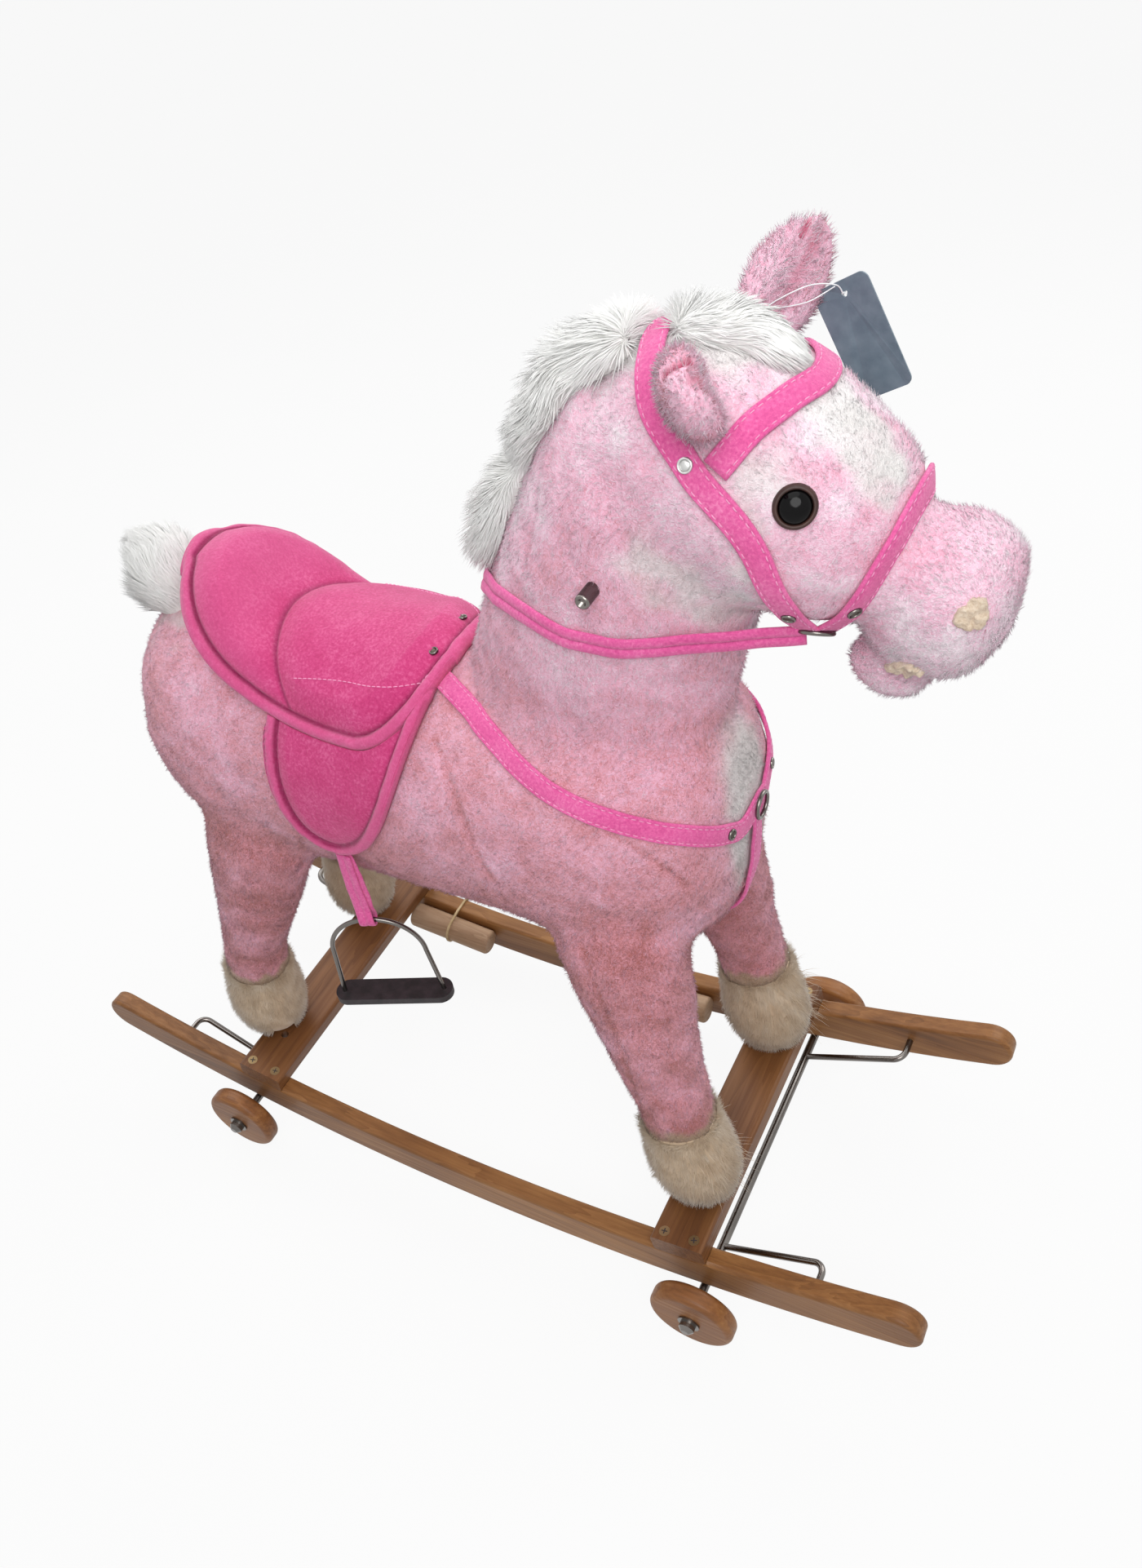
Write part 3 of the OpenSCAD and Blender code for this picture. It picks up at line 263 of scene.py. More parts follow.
PLUSH = plush_paint("pink_plush", 0.25)
EAR_PLUSH = plush_paint("pink_ear_plush", 0.05)
WHITE_FUR = fur_paint("white_fur", (206, 205, 198), (238, 238, 234), (250, 250, 248))
CREAM_FUR = fur_paint("cream_fur", (168, 138, 110), (208, 184, 156), (234, 218, 198))
SADDLE = felt_paint("saddle_terry", (188, 42, 104), (208, 68, 128), (230, 114, 164), 520, 0.0016)
STRAP = felt_paint("strap_felt", (208, 70, 138), (232, 100, 164), (248, 150, 196), 640, 0.0012)
BEIGE = felt_paint("beige_felt", (184, 156, 128), (220, 201, 178), (240, 228, 211), 700, 0.0012)
THREAD = felt_paint("stitch_thread", (234, 128, 180), (244, 162, 204), (250, 200, 226), 1800, 0.0003)
WOOD_X = wood_paint("beech_along_x", 0, (84, 50, 23), (128, 84, 45), (164, 116, 68))
WOOD_Y = wood_paint("beech_along_y", 1, (76, 43, 21), (111, 70, 38), (140, 96, 57))
WHEEL_WOOD = wood_paint("wheel_wood", 0, (90, 52, 25), (134, 86, 47), (168, 118, 70))
GRIP_WOOD = wood_paint("grip_wood", 0, (120, 90, 66), (166, 134, 106), (192, 164, 136), 0.6)
BARE_WOOD = wood_paint("bare_softwood", 2, (160, 118, 74), (196, 156, 108), (222, 190, 146), 0.6)
# Painted reflection: the plated steel is given a dark colour to stand for the dark surroundings that it reflects
STEEL = steel_paint("plated_steel", (126, 121, 117), 0.2)
DARK_STEEL = steel_paint("dulled_steel", (88, 81, 72), 0.32)
BRASS = steel_paint("worn_brass", (158, 134, 98), 0.35)
NICKEL = steel_paint("bright_nickel", (238, 238, 236), 0.3)
EYE_RIM = plastic_paint("eye_rim", (38, 20, 16), (66, 38, 30), 0.5)
EYE_BLACK = plastic_paint("eye_black", (4, 3, 4), (8, 7, 8), 0.06, 0.15)
TREAD = plastic_paint("tread_black", (22, 18, 20), (44, 36, 40), 0.5)
BAND = plastic_paint("rubber_band", (176, 150, 108), (206, 182, 140), 0.55)
CARD = plastic_paint("tag_card", (98, 116, 128), (114, 132, 143), 0.4)
NYLON = plastic_paint("nylon", (226, 230, 232), (244, 246, 247), 0.3)


# Mesh tools
def make(name, points, faces, body, paints, smooth=True, which=None):
    """A mesh piece that rides on a body; faces may have any number of corners."""
    counts = np.array([len(f) for f in faces])
    corners = np.concatenate([np.asarray(f, np.int32).ravel() for f in faces])
    return dress(name, points, corners, counts, body, paints, smooth, which)


def dress(name, points, corners, counts, body, paints, smooth=True, which=None):
    """The same, from one list of corners and the number of them in each face."""
    data = bpy.data.meshes.new(name)
    points = np.asarray(points, np.float32)
    data.vertices.add(len(points))
    data.vertices.foreach_set("co", points.ravel())
    data.loops.add(len(corners))
    data.loops.foreach_set("vertex_index", np.asarray(corners, np.int32))
    data.polygons.add(len(counts))
    data.polygons.foreach_set("loop_start", np.concatenate([[0], np.cumsum(counts)[:-1]]).astype(np.int32))
    data.polygons.foreach_set("use_smooth", np.full(len(counts), smooth))
    for paint in paints if isinstance(paints, (list, tuple)) else [paints]:
        data.materials.append(paint)
    if which is not None:
        data.polygons.foreach_set("material_index", np.asarray(which, np.int32))
    data.update(calc_edges=True)
    data.validate()
    piece = bpy.data.objects.new(name, data)
    bpy.context.scene.collection.objects.link(piece)
    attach(piece, body)
    return piece


def mark(piece, **values):
    """Writes one number for each point of a piece, for its material to read."""
    for name, value in values.items():
        layer = piece.data.attributes.new(name, "FLOAT", "POINT")
        layer.data.foreach_set("value", np.asarray(value, np.float32))


class Bundle:
    """Collects the parts of one mesh, each with its own material."""

    def __init__(self):
        self.points, self.faces, self.which, self.count = [], [], [], 0

    def add(self, points, faces, paint=0):
        self.points.append(np.asarray(points, float))
        self.faces += [[int(i) + self.count for i in f] for f in faces]
        self.which += [paint] * len(faces)
        self.count += len(points)

    def make(self, name, body, paints, slot=None, smooth=True):
        return make(name, np.concatenate(self.points), self.faces, body, paints, smooth, self.which)


def grid_faces(rows, cols, closed_rows=False, closed_cols=True):
    r = np.arange(rows if closed_rows else rows - 1)[:, None]
    c = np.arange(cols if closed_cols else cols - 1)[None]
    a, b = r * cols + c, r * cols + (c + 1) % cols
    d, e = (r + 1) % rows * cols + c, (r + 1) % rows * cols + (c + 1) % cols
    return np.stack([a, b, e, d], -1).reshape(-1, 4).tolist()


def tube(path, radius, sides=10, closed=False):
    """Points and faces of a round tube along a path; radius may differ from point to point."""
    path = np.asarray(path, float)
    n = len(path)
    along = np.roll(path, -1, 0) - np.roll(path, 1, 0) if closed else np.gradient(path, axis=0)
    along = unit(along)
    side = np.zeros_like(path)
    side[0] = unit(np.cross(along[0], UP if abs(along[0][2]) < 0.9 else [1.0, 0, 0]))
    for k in range(1, n):
        side[k] = unit(side[k - 1] - along[k] * (side[k - 1] @ along[k]))
    if closed:
        # spread the twist that the walk round the loop leaves
        last = side[-1] - along[0] * (side[-1] @ along[0])
        gap = math.atan2(np.cross(side[0], unit(last)) @ along[0], unit(last) @ side[0])
        other = np.cross(along, side)
        back = -gap * np.arange(n) / n
        side = side * np.cos(back)[:, None] + other * np.sin(back)[:, None]
    other = np.cross(along, side)
    a = np.arange(sides) * 2 * np.pi / sides
    r = np.broadcast_to(np.asarray(radius, float), (n,))[:, None, None]
    ring = path[:, None] + r * (np.cos(a)[None, :, None] * side[:, None] + np.sin(a)[None, :, None] * other[:, None])
    faces = grid_faces(n, sides, closed)
    if not closed:
        faces += [list(range(sides))[::-1], [(n - 1) * sides + k for k in range(sides)]]
    return ring.reshape(-1, 3), faces


def lathe(profile, at, axis, sides=32):
    """Points and faces of a turned shape; profile is (radius, height) pairs from the axis and back to it."""
    axis = unit(axis)
    side = unit(np.cross(axis, UP if abs(axis[2]) < 0.9 else [1.0, 0, 0]))
    other = np.cross(axis, side)
    a = np.arange(sides) * 2 * np.pi / sides
    round_way = np.cos(a)[:, None] * side + np.sin(a)[:, None] * other
    points, faces, rings = [], [], []
    for r, h in profile:
        if r < 1e-9:
            rings.append([len(points)])
            points.append(at + axis * h)
        else:
            rings.append(list(range(len(points), len(points) + sides)))
            points += list(at + axis * h + r * round_way)
    for low, high in zip(rings, rings[1:]):
        for k in range(sides):
            m = (k + 1) % sides
            quad = [low[k % len(low)], low[m % len(low)], high[m % len(high)], high[k % len(high)]]
            corner = [q for i, q in enumerate(quad) if q not in quad[:i]]
            if len(corner) > 2:
                faces.append(corner)
    return np.array(points), faces


def waves(points, size, seed):
    """Smooth random field over points, about -1 to 1, with lumps of a given size in metres."""
    draw, layers = np.random.default_rng(seed), 24
    way = unit(draw.normal(size=(layers, 3))) * (2 * np.pi / size) * draw.uniform(0.6, 1.4, (layers, 1))
    return np.cos(points @ way.T + draw.uniform(0, 2 * np.pi, layers)).sum(1) * math.sqrt(2 / layers) / 1.6


def bell(x, width):
    return np.exp(-((x / width) ** 2))


def within(gap, reach, soft):
    """1 where a gap is less than the reach, easing to 0 beyond it."""
    return 1 / (1 + np.exp((gap - reach) / soft))


def ease_line(line, rounds):
    """Draws the inner points of a line toward their neighbours, in place."""
    for _ in range(rounds):
        line[1:-1] = 0.5 * line[1:-1] + 0.25 * (line[:-2] + line[2:])


def run_of(line):
    """How far along a line each of its points lies."""
    return np.concatenate([[0], np.cumsum(np.linalg.norm(np.diff(line, axis=0), axis=1))])


def at_run(at, far, values):
    """Values of a line at distances along it; far is its run."""
    return np.stack([np.interp(at, far, values[:, k]) for k in range(values.shape[1])], 1)


def point_normals(points, tris):
    a, b, c = (points[tris[:, k]] for k in range(3))
    n = np.cross(b - a, c - a)
    total = [np.bincount(tris.ravel(), np.repeat(n[:, k], 3), len(points)) for k in range(3)]
    return unit(np.stack(total, 1))


# Forms, as in the solids: rows of [x, y, z, half width, half depth, lean, dent] in millimetres
def smooth_row(rows, u):
    rows, u = np.asarray(rows, float), np.atleast_1d(np.asarray(u, float))
    n = len(rows)
    i = np.clip(np.floor(u).astype(int), 0, n - 2)
    f = (u - i)[:, None]
    a, b, c, d = (rows[np.clip(i + k, 0, n - 1)] for k in (-1, 0, 1, 2))
    return (2 * b + (c - a) * f + (2 * a - 5 * b + 4 * c - d) * f**2 + (3 * b - a - 3 * c + d) * f**3) / 2


def ring_point(r, angle):
    a, lean = np.radians(angle), np.radians(r[:, 5])
    s = np.sin(a) * r[:, 4] * (1 - r[:, 6] * np.maximum(0, np.sin(a)) ** 4)
    return np.stack([r[:, 0] - s * np.sin(lean), r[:, 1] + r[:, 3] * np.cos(a), r[:, 2] + s * np.cos(lean)], 1)


def form_point(rows, u, angle):
    u, angle = np.broadcast_arrays(np.atleast_1d(np.asarray(u, float)), np.atleast_1d(np.asarray(angle, float)))
    return ring_point(smooth_row(rows, u), angle)


def form_normal(rows, u, angle):
    u, angle = np.broadcast_arrays(np.atleast_1d(np.asarray(u, float)), np.atleast_1d(np.asarray(angle, float)))
    low, high = np.maximum(0, u - 0.05), np.minimum(len(rows) - 1, u + 0.05)
    n = np.cross(form_point(rows, u, angle + 1) - form_point(rows, u, angle - 1),
                 form_point(rows, high, angle) - form_point(rows, low, angle))
    out = form_point(rows, u, angle) - smooth_row(rows, u)[:, :3]
    return unit(n) * np.where((n * out).sum(1) < 0, -1, 1)[:, None]


def off_form(rows, u, angle, off):
    return form_point(rows, u, angle) + form_normal(rows, u, angle) * np.reshape(off, (-1, 1))


def loft(rows, sides, steps):
    """Closed mesh through the rings of a form, in millimetres."""
    u = np.linspace(0, len(rows) - 1, (len(rows) - 1) * steps + 1)
    a = np.arange(sides) * 360 / sides
    ring = form_point(rows, np.repeat(u, sides), np.tile(a, len(u)))
    ends = smooth_row(rows, [0, len(rows) - 1])[:, :3]
    n, m = len(ring), len(u)
    faces = grid_faces(m, sides)
    faces += [[n, (k + 1) % sides, k] for k in range(sides)]
    faces += [[n + 1, (m - 1) * sides + k, (m - 1) * sides + (k + 1) % sides] for k in range(sides)]
    return np.concatenate([ring, ends]), faces


BODY_LEN, BODY_W, BODY_H, BODY_Z, RUMP_X = 449, 176, 212, 402, -234
body_rows = [[RUMP_X + a * BODY_LEN, 0, BODY_Z + b * BODY_H, c * BODY_W / 2, d * BODY_H / 2, 0, 0] for a, b, c, d in [
    [0.000, 0.038, 0.11, 0.11], [0.013, 0.038, 0.48, 0.49], [0.058, 0.024, 0.80, 0.78],
    [0.154, -0.005, 1.00, 0.94], [0.298, -0.028, 0.99, 0.92], [0.499, -0.038, 0.96, 0.91],
    [0.677, -0.028, 0.98, 0.94], [0.822, -0.009, 1.00, 1.00], [0.933, 0.000, 0.82, 0.85],
    [0.984, 0.000, 0.52, 0.57], [1.000, 0.000, 0.11, 0.11]]]


def rows_of(x, z, run, rise, wide, deep, shares):
    return [[x + s[0] * run, 0, z + s[1] * rise, s[2] * wide / 2, s[3] * deep / 2, s[4], 0] for s in shares]


neck_rows = rows_of(110, 430, 80, 225, 114, 170, [
    [0.00, 0.00, 0.90, 1.00, 75], [0.15, 0.22, 0.92, 0.96, 72], [0.40, 0.49, 0.98, 0.87, 68],
    [0.68, 0.73, 0.96, 0.80, 62], [0.88, 0.91, 0.84, 0.66, 55], [1.00, 1.00, 0.52, 0.42, 50]])
head_rows = rows_of(150, 650, 138, -54, 108, 120, [
    [0.00, 0.00, 0.22, 0.23, -15], [0.05, 0.04, 0.67, 0.67, -15], [0.23, 0.17, 0.93, 0.93, -16],
    [0.49, 0.41, 1.00, 1.00, -18], [0.76, 0.70, 0.89, 0.87, -20], [0.93, 0.91, 0.70, 0.70, -20],
    [1.00, 1.00, 0.44, 0.47, -20]])
muzzle_rows = rows_of(276, 586, 67, -17, 64, 84, [
    [0.00, 0.00, 0.38, 0.38, -15], [0.12, 0.12, 0.75, 0.76, -15], [0.33, 0.33, 0.95, 0.95, -15],
    [0.62, 0.62, 1.00, 1.00, -15], [0.87, 0.87, 0.78, 0.78, -15], [1.00, 1.00, 0.22, 0.22, -15]])
jaw_rows = rows_of(268, 541, 40, -14, 36, 30, [
    [0.00, 0.00, 0.25, 0.25, -15], [0.15, 0.15, 0.75, 0.75, -15], [0.50, 0.50, 1.00, 1.00, -15],
    [0.82, 0.82, 0.82, 0.82, -15], [1.00, 1.00, 0.25, 0.25, -15]])
mane_rows = rows_of(166, 688, -98, -118, 38, 38, [
    [0.00, 0.00, 0.30, 0.30, 195], [0.03, 0.02, 0.85, 0.70, 200], [0.29, 0.12, 0.97, 0.88, 215],
    [0.50, 0.31, 0.95, 0.90, 230], [0.65, 0.51, 0.82, 0.60, 238], [0.79, 0.71, 0.97, 0.92, 240],
    [0.96, 0.94, 0.80, 0.78, 240], [1.00, 1.00, 0.26, 0.26, 240]])
forelock_rows = rows_of(240, 683, -52, 10, 30, 26, [
    [0.00, 0.00, 0.35, 0.35, 172], [0.12, 0.40, 0.80, 0.70, 172], [0.50, 1.00, 1.00, 1.00, 180],
    [0.92, 0.85, 0.90, 0.85, 186], [1.00, 0.70, 0.40, 0.40, 186]])
tail_rows = rows_of(-178, 466, -40, 64, 58, 58, [
    [0.00, 0.00, 0.36, 0.36, 124], [0.15, 0.18, 0.62, 0.60, 124], [0.44, 0.47, 0.97, 0.90, 124],
    [0.72, 0.75, 1.00, 0.90, 124], [0.93, 0.94, 0.60, 0.56, 124], [1.00, 1.00, 0.18, 0.18, 124]])
LEG_LEN, HOOF_LEN, LEG_W, LEG_D, HOOF_W, HOOF_D, SPLAY = 309, 86, 72, 88, 60, 65, 75
ROCK_CZ, SEAT_R, BEAM_A, BEAM_T, SOFT_GAP = 1267.7, 1216.5, math.radians(9.47452), 17, 0.4
LEG_SHIFT, LEG_RAKE = {1: 0, -1: 22}, {1: 8, -1: 26}
leg_shares = [[0.00, 1.00, 0.000, 0.73, 0.61], [-0.05, 0.99, 0.090, 0.73, 0.60], [-0.30, 0.95, 0.229, 0.80, 0.66],
              [-0.75, 0.88, 0.482, 0.93, 0.84], [-1.15, 0.78, 0.764, 1.00, 1.00], [-1.35, 0.67, 1.000, 0.65, 0.77]]
hoof_shares = [[0.00, 0.46, 0.48], [0.10, 0.76, 0.78], [0.32, 0.97, 0.98], [0.56, 1.00, 1.00], [0.82, 0.93, 0.92]]
SPARE_HOLE, HOLE_CLEAR, HOLE_HIGH = (2, 88), 11.5, 45
ENDS = {"front": 1, "rear": -1}
SIDES = {"left": 1, "right": -1}
CORNERS = [("%s_%s" % (e, s), ENDS[e], SIDES[s]) for e in ENDS for s in SIDES]


def leg_rows(e, s):
    return [[e * (LEG_SHIFT[e] + r[0] * LEG_RAKE[e]), s * r[1] * SPLAY,
             BEAM_T + SOFT_GAP + HOOF_LEN + r[2] * (LEG_LEN - HOOF_LEN), r[3] * LEG_W / 2, r[4] * LEG_D / 2, -90, 0]
            for r in leg_shares]


def hoof_rows(e, s):
    top = leg_rows(e, s)[0]
    return [[top[0], top[1], BEAM_T + SOFT_GAP + r[0] * HOOF_LEN, r[1] * HOOF_W / 2, r[2] * HOOF_D / 2, -90, 0]
            for r in hoof_shares] + [top]


def at_beam(e, points):
    """Points given on the seat of a crossbeam, in the frame."""
    p = np.asarray(points, float) - [0, 0, SEAT_R]
    c, s = math.cos(BEAM_A), -e * math.sin(BEAM_A)
    return np.stack([p[:, 0] * c + p[:, 2] * s, p[:, 1], -p[:, 0] * s + p[:, 2] * c + ROCK_CZ], 1)


def turned(x, y, z):
    """Rotation by angles in degrees about X, then Y, then Z."""
    x, y, z = np.radians([x, y, z])
    rx = np.array([[1, 0, 0], [0, np.cos(x), -np.sin(x)], [0, np.sin(x), np.cos(x)]])
    ry = np.array([[np.cos(y), 0, np.sin(y)], [0, 1, 0], [-np.sin(y), 0, np.cos(y)]])
    rz = np.array([[np.cos(z), -np.sin(z), 0], [np.sin(z), np.cos(z), 0], [0, 0, 1]])
    return rz @ ry @ rx


EAR_LEN, EAR_W, EAR_T, EAR_DENT = 62, 38, 24, 0.45
ear_rows = [[a * EAR_LEN, 0, 0, b * EAR_W / 2, c * EAR_T / 2, 0, EAR_DENT] for a, b, c in [
    [0.00, 0.45, 0.45], [0.12, 0.72, 0.70], [0.45, 1.00, 1.00], [0.75, 0.80, 0.84], [0.94, 0.42, 0.48],
    [1.00, 0.14, 0.16]]]
ear_base = off_form(head_rows, 2.4, 50, -0.1 * EAR_LEN)[0]
ear_turn = turned(65, -32, 72)


def ear_place(s, points):
    p = points @ ear_turn.T + ear_base
    return p * [1, s, 1]


# One sewn skin over the body, neck, head and legs
SKIN_VOXEL = 0.0032
FOOT_DROP, FOOT_SHARE = 14, 0.8  # each leg runs on into its hoof, slimmer
union = Bundle()
for rows in (body_rows, neck_rows, head_rows, muzzle_rows, jaw_rows):
    points, faces = loft(rows, 72, 8)
    union.add(points * MM, faces)
for _, e, s in CORNERS:
    x, y, z, wide, deep, *more = leg_rows(e, s)[0]
    foot = [x, y, z - FOOT_DROP, wide * FOOT_SHARE, deep * FOOT_SHARE, *more]
    points, faces = loft([foot] + leg_rows(e, s), 56, 10)
    union.add(at_beam(e, points) * MM, faces)
rough = union.make("skin_forms", HORSE, [PLUSH])
remesh = rough.modifiers.new("remesh", "REMESH")
remesh.mode = "VOXEL"
remesh.voxel_size = SKIN_VOXEL
made = bpy.data.meshes.new_from_object(rough.evaluated_get(bpy.context.evaluated_depsgraph_get()))
bpy.data.objects.remove(rough)


class Skin:
    """Points, triangles and neighbours of a mesh, with smoothing in place."""

    def __init__(self, data):
        def read(items, name, wide, kind=np.int32):
            values = np.empty(len(items) * wide, kind)
            items.foreach_get(name, values)
            return values.reshape(-1, wide)

        data.calc_loop_triangles()
        self.p = read(data.vertices, "co", 3, np.float32).astype(float)
        self.t = read(data.loop_triangles, "vertices", 3)
        self.corners = read(data.loops, "vertex_index", 1)[:, 0]
        self.counts = read(data.polygons, "loop_total", 1)[:, 0]
        self.edge = read(data.edges, "vertices", 2)
        self.deg = np.maximum(np.bincount(self.edge.ravel(), minlength=len(self.p)), 1)[:, None]

    def mean(self, value):
        """Mean of a value over each point's neighbours."""
        a, b = self.edge.T
        n = len(self.p)
        total = [np.bincount(a, value[b, k], n) + np.bincount(b, value[a, k], n) for k in range(value.shape[1])]
        return np.stack(total, 1) / self.deg

    def blur(self, value, rounds):
        for _ in range(rounds):
            value = self.mean(value)
        return value

    def normals(self):
        return point_normals(self.p, self.t)

    def soften(self, rounds, hollow_only=False):
        n = self.normals()
        for k in range(rounds):
            pull = self.mean(self.p) - self.p
            if hollow_only:
                if k % 6 == 0:
                    n = self.normals()
                self.p += 0.5 * np.maximum(0, (pull * n).sum(1))[:, None] * n
            else:
                self.p += 0.5 * pull

    def tree(self):
        return BVHTree.FromPolygons(self.p.tolist(), self.t.tolist())


skin = Skin(made)
bpy.data.meshes.remove(made)
skin.soften(5)
skin.soften(60, hollow_only=True)
skin.soften(3)
bare = []  # places with no pile: [points, reach]


def ray_from(px, py):
    """Direction from the camera through a pixel of the photograph."""
    down = np.cross(FORWARD, RIGHT)
    return unit(FORWARD + RIGHT * (px - CENTRE_PX[0]) / FOCAL_PX + down * (py - CENTRE_PX[1]) / FOCAL_PX)


def lands(tree, starts, ways, fallback=None):
    """Where rays meet a surface, and the surface's direction there."""
    spots, faces = [], []
    for k, (a, w) in enumerate(zip(starts, ways)):
        hit = tree.ray_cast(Vector(a), Vector(w))
        if hit[0] is None:
            hit = tree.find_nearest(Vector(a if fallback is None else fallback[k]))
        spots.append(np.array(hit[0]))
        faces.append(np.array(hit[1]))
    return np.array(spots), np.array(faces)


def at_pixels(tree, pixels):
    """Where pixels of the photograph fall on a surface, and the surface's direction there."""
    return lands(tree, [EYE] * len(pixels), [ray_from(*q) for q in pixels])


def inside(tree, points):
    """True where a point is under the surface."""
    found = [tree.find_nearest(Vector(p)) for p in points]
    return np.array([(Vector(p) - f[0]).dot(f[1]) < 0 for p, f in zip(points, found)])


def curve(points, step, closed=False):
    """Smooth curve through points, with even steps in metres."""
    p = np.asarray(points, float)
    n = len(p)
    if closed:
        rows = np.concatenate([p[-2:], p, p[:3]])
        u = np.arange(2, n + 2, 0.05)
    else:
        rows = p
        u = np.arange(0, n - 1 + 1e-9, 0.05)
    fine = smooth_row(rows, u)
    if closed:
        fine = np.concatenate([fine, fine[:1]])
    far = run_of(fine[:, :3])
    count = max(4, int(round(far[-1] / step)))
    return at_run(np.linspace(0, far[-1], count + 1)[: count if closed else count + 1], far, fine)


def to_line(points, line):
    """Distance from points to the nearest point of a finely divided line."""
    best = np.full(len(points), 1e9)
    for q in line:
        best = np.minimum(best, ((points - q) ** 2).sum(1))
    return np.sqrt(best)


# Seams sewn into the skin, through pixels of the photograph and mirrored to the far side
skin_tree = skin.tree()
SEAM_PIXELS = [
    [(531, 905), (548, 950), (566, 1000), (584, 1045), (612, 1088)],
    [(742, 1018), (790, 1048), (838, 1082), (866, 1112), (880, 1150)],
    [(338, 905), (352, 960), (366, 1010), (372, 1062)],
    [(700, 1120), (716, 1172), (738, 1230), (768, 1310), (786, 1362)],
    [(1010, 545), (1040, 600), (1068, 640)],
    [(690, 480), (672, 560), (652, 640), (640, 700)],
]
SEAM_STEP, SEAM_W, PUCKER_W, SKIN_FLOOR = 0.0015, 0.0023, 0.012, 0.09
seams = []
for pixels in SEAM_PIXELS:
    spots, _ = at_pixels(skin_tree, pixels)
    for side in (1, -1):
        seams.append(curve(spots * [1, side, 1], SEAM_STEP))
ridge = off_form(body_rows, np.linspace(1.2, 8.6, 40), -90, 0) * MM
seams.append(curve(ridge, SEAM_STEP))

normal = skin.normals()
seam_gap = np.min([to_line(skin.p, line) for line in seams], axis=0)
groove = bell(seam_gap, SEAM_W)
lumps = 0.6 * waves(skin.p, 0.06, 3) + 0.5 * waves(skin.p, 0.026, 4) + 0.3 * waves(skin.p, 0.013, 5)
pucker = bell(seam_gap, PUCKER_W) * waves(skin.p, 0.009, 6)
skin.p += normal * (lumps * 0.0009 + pucker * 0.0005 - groove * 0.0013 - 0.0006)[:, None]
skin.p[:, 2] = np.maximum(skin.p[:, 2], SKIN_FLOOR)
normal = skin.normals()
skin_tree = skin.tree()

# Which way the pile lies: back along the head and body, down the neck and legs
FLOWS = [(body_rows, (-0.85, 0, -0.5), 1.0), (neck_rows, (-0.3, 0, -0.95), 1.0), (head_rows, (-0.9, 0, 0.25), 1.0),
         (muzzle_rows, (-0.95, 0, 0.2), 0.9), (jaw_rows, (-0.95, 0, 0.1), 0.8)]
lines, flow_of = [], []
for rows, way, weight in FLOWS:
    r = smooth_row(rows, np.linspace(0, len(rows) - 1, 24))
    lines.append((r[:, :3] * MM, np.minimum(r[:, 3], r[:, 4]) * MM / weight))
    flow_of.append(way)
for _, e, s in CORNERS:
    r = smooth_row(leg_rows(e, s), np.linspace(0, len(leg_shares) - 1, 16))
    lines.append((at_beam(e, r[:, :3]) * MM, np.minimum(r[:, 3], r[:, 4]) * MM))
    flow_of.append((0, 0, -1))
NECK, HEAD, SNOUT, FIRST_LEG = 1, [2, 3, 4], [3, 4], 5  # regions, numbered in the order of lines
depth = []
for centre, radius in lines:
    gap = np.full(len(skin.p), 1e9)
    for c, r in zip(centre, radius):
        gap = np.minimum(gap, np.linalg.norm(skin.p - c, axis=1) - r)
    depth.append(gap)
region = np.argmin(depth, axis=0)
flow = skin.blur(np.array(flow_of, float)[region], 40)
flow = unit(flow - normal * (flow * normal).sum(1)[:, None])

# Marks: white blaze and chest, and in the tone painted sheen and painted shade
x, y, z = skin.p.T
edge = 0.005 * waves(skin.p, 0.016, 8)
MARK_STEP = 0.002
blaze_spots, _ = at_pixels(skin_tree, [(1012, 478), (1036, 505), (1062, 540), (1082, 572)])
blaze = within(to_line(skin.p, curve(blaze_spots, MARK_STEP)) + edge, 0.013, 0.0022)
chest_gap = np.sqrt(((z - 0.415) / 0.062) ** 2 + (y / 0.028) ** 2) + edge * 12
chest = within(chest_gap, 1, 0.08) * (x > 0.17)
jaw_spots, _ = at_pixels(skin_tree, [(792, 690), (840, 716), (900, 748), (955, 768)])
jaw_line = curve(jaw_spots, MARK_STEP)
under_jaw = np.minimum(to_line(skin.p, jaw_line), to_line(skin.p * [1, -1, 1], jaw_line)) + edge
white = np.maximum(np.maximum(blaze, chest), 0.75 * within(under_jaw, 0.011, 0.003))
poll = np.array([mane_rows[1], mane_rows[0], forelock_rows[-1], forelock_rows[2]])
poll_line = curve(poll[:, :3] * MM, MARK_STEP)
white = np.maximum(white, within(to_line(skin.p, poll_line) + edge, 0.022, 0.003))
dock = np.array([smooth_row(tail_rows, [0.6])[0, :3] * MM])
white = np.maximum(white, 0.7 * within(to_line(skin.p, dock) + 1.6 * edge, 0.034, 0.004))
# upper makes the head and neck paler, and more so with height: partly their own paler pile, partly painted light from
# above
upper = np.select([region == NECK, np.isin(region, HEAD)], [0.5, 1.0], 0.0)
upper = skin.blur(upper[:, None], 30)[:, 0] * np.clip((z - 0.44) / 0.14, 0.25, 1)
# Painted sheen: pale patches in the pile's tone, stronger up the head and neck, weaker on the lower neck
painted_sheen = np.clip(waves(skin.p, 0.085, 12) + 0.5 * waves(skin.p, 0.03, 13), 0, 1)
painted_sheen *= 1 - 0.8 * bell(z - 0.50, 0.05) * (np.abs(y) > 0.02)
# Painted shade: the legs, and the belly under the body, are made deeper in tone
legs = skin.blur((region >= FIRST_LEG).astype(float)[:, None], 20)[:, 0]
# Painted shade: the tone is deeper in the seam grooves
tone = 0.42 + 0.04 * waves(skin.p, 0.045, 14) + 0.04 * waves(skin.p, 0.016, 15) - 0.15 * groove
belly = np.clip((0.43 - z) / 0.08, 0, 1) * (1 - legs)
tone += upper * 0.27 + painted_sheen * (0.12 + 0.2 * upper) - 0.19 * legs - 0.17 * belly
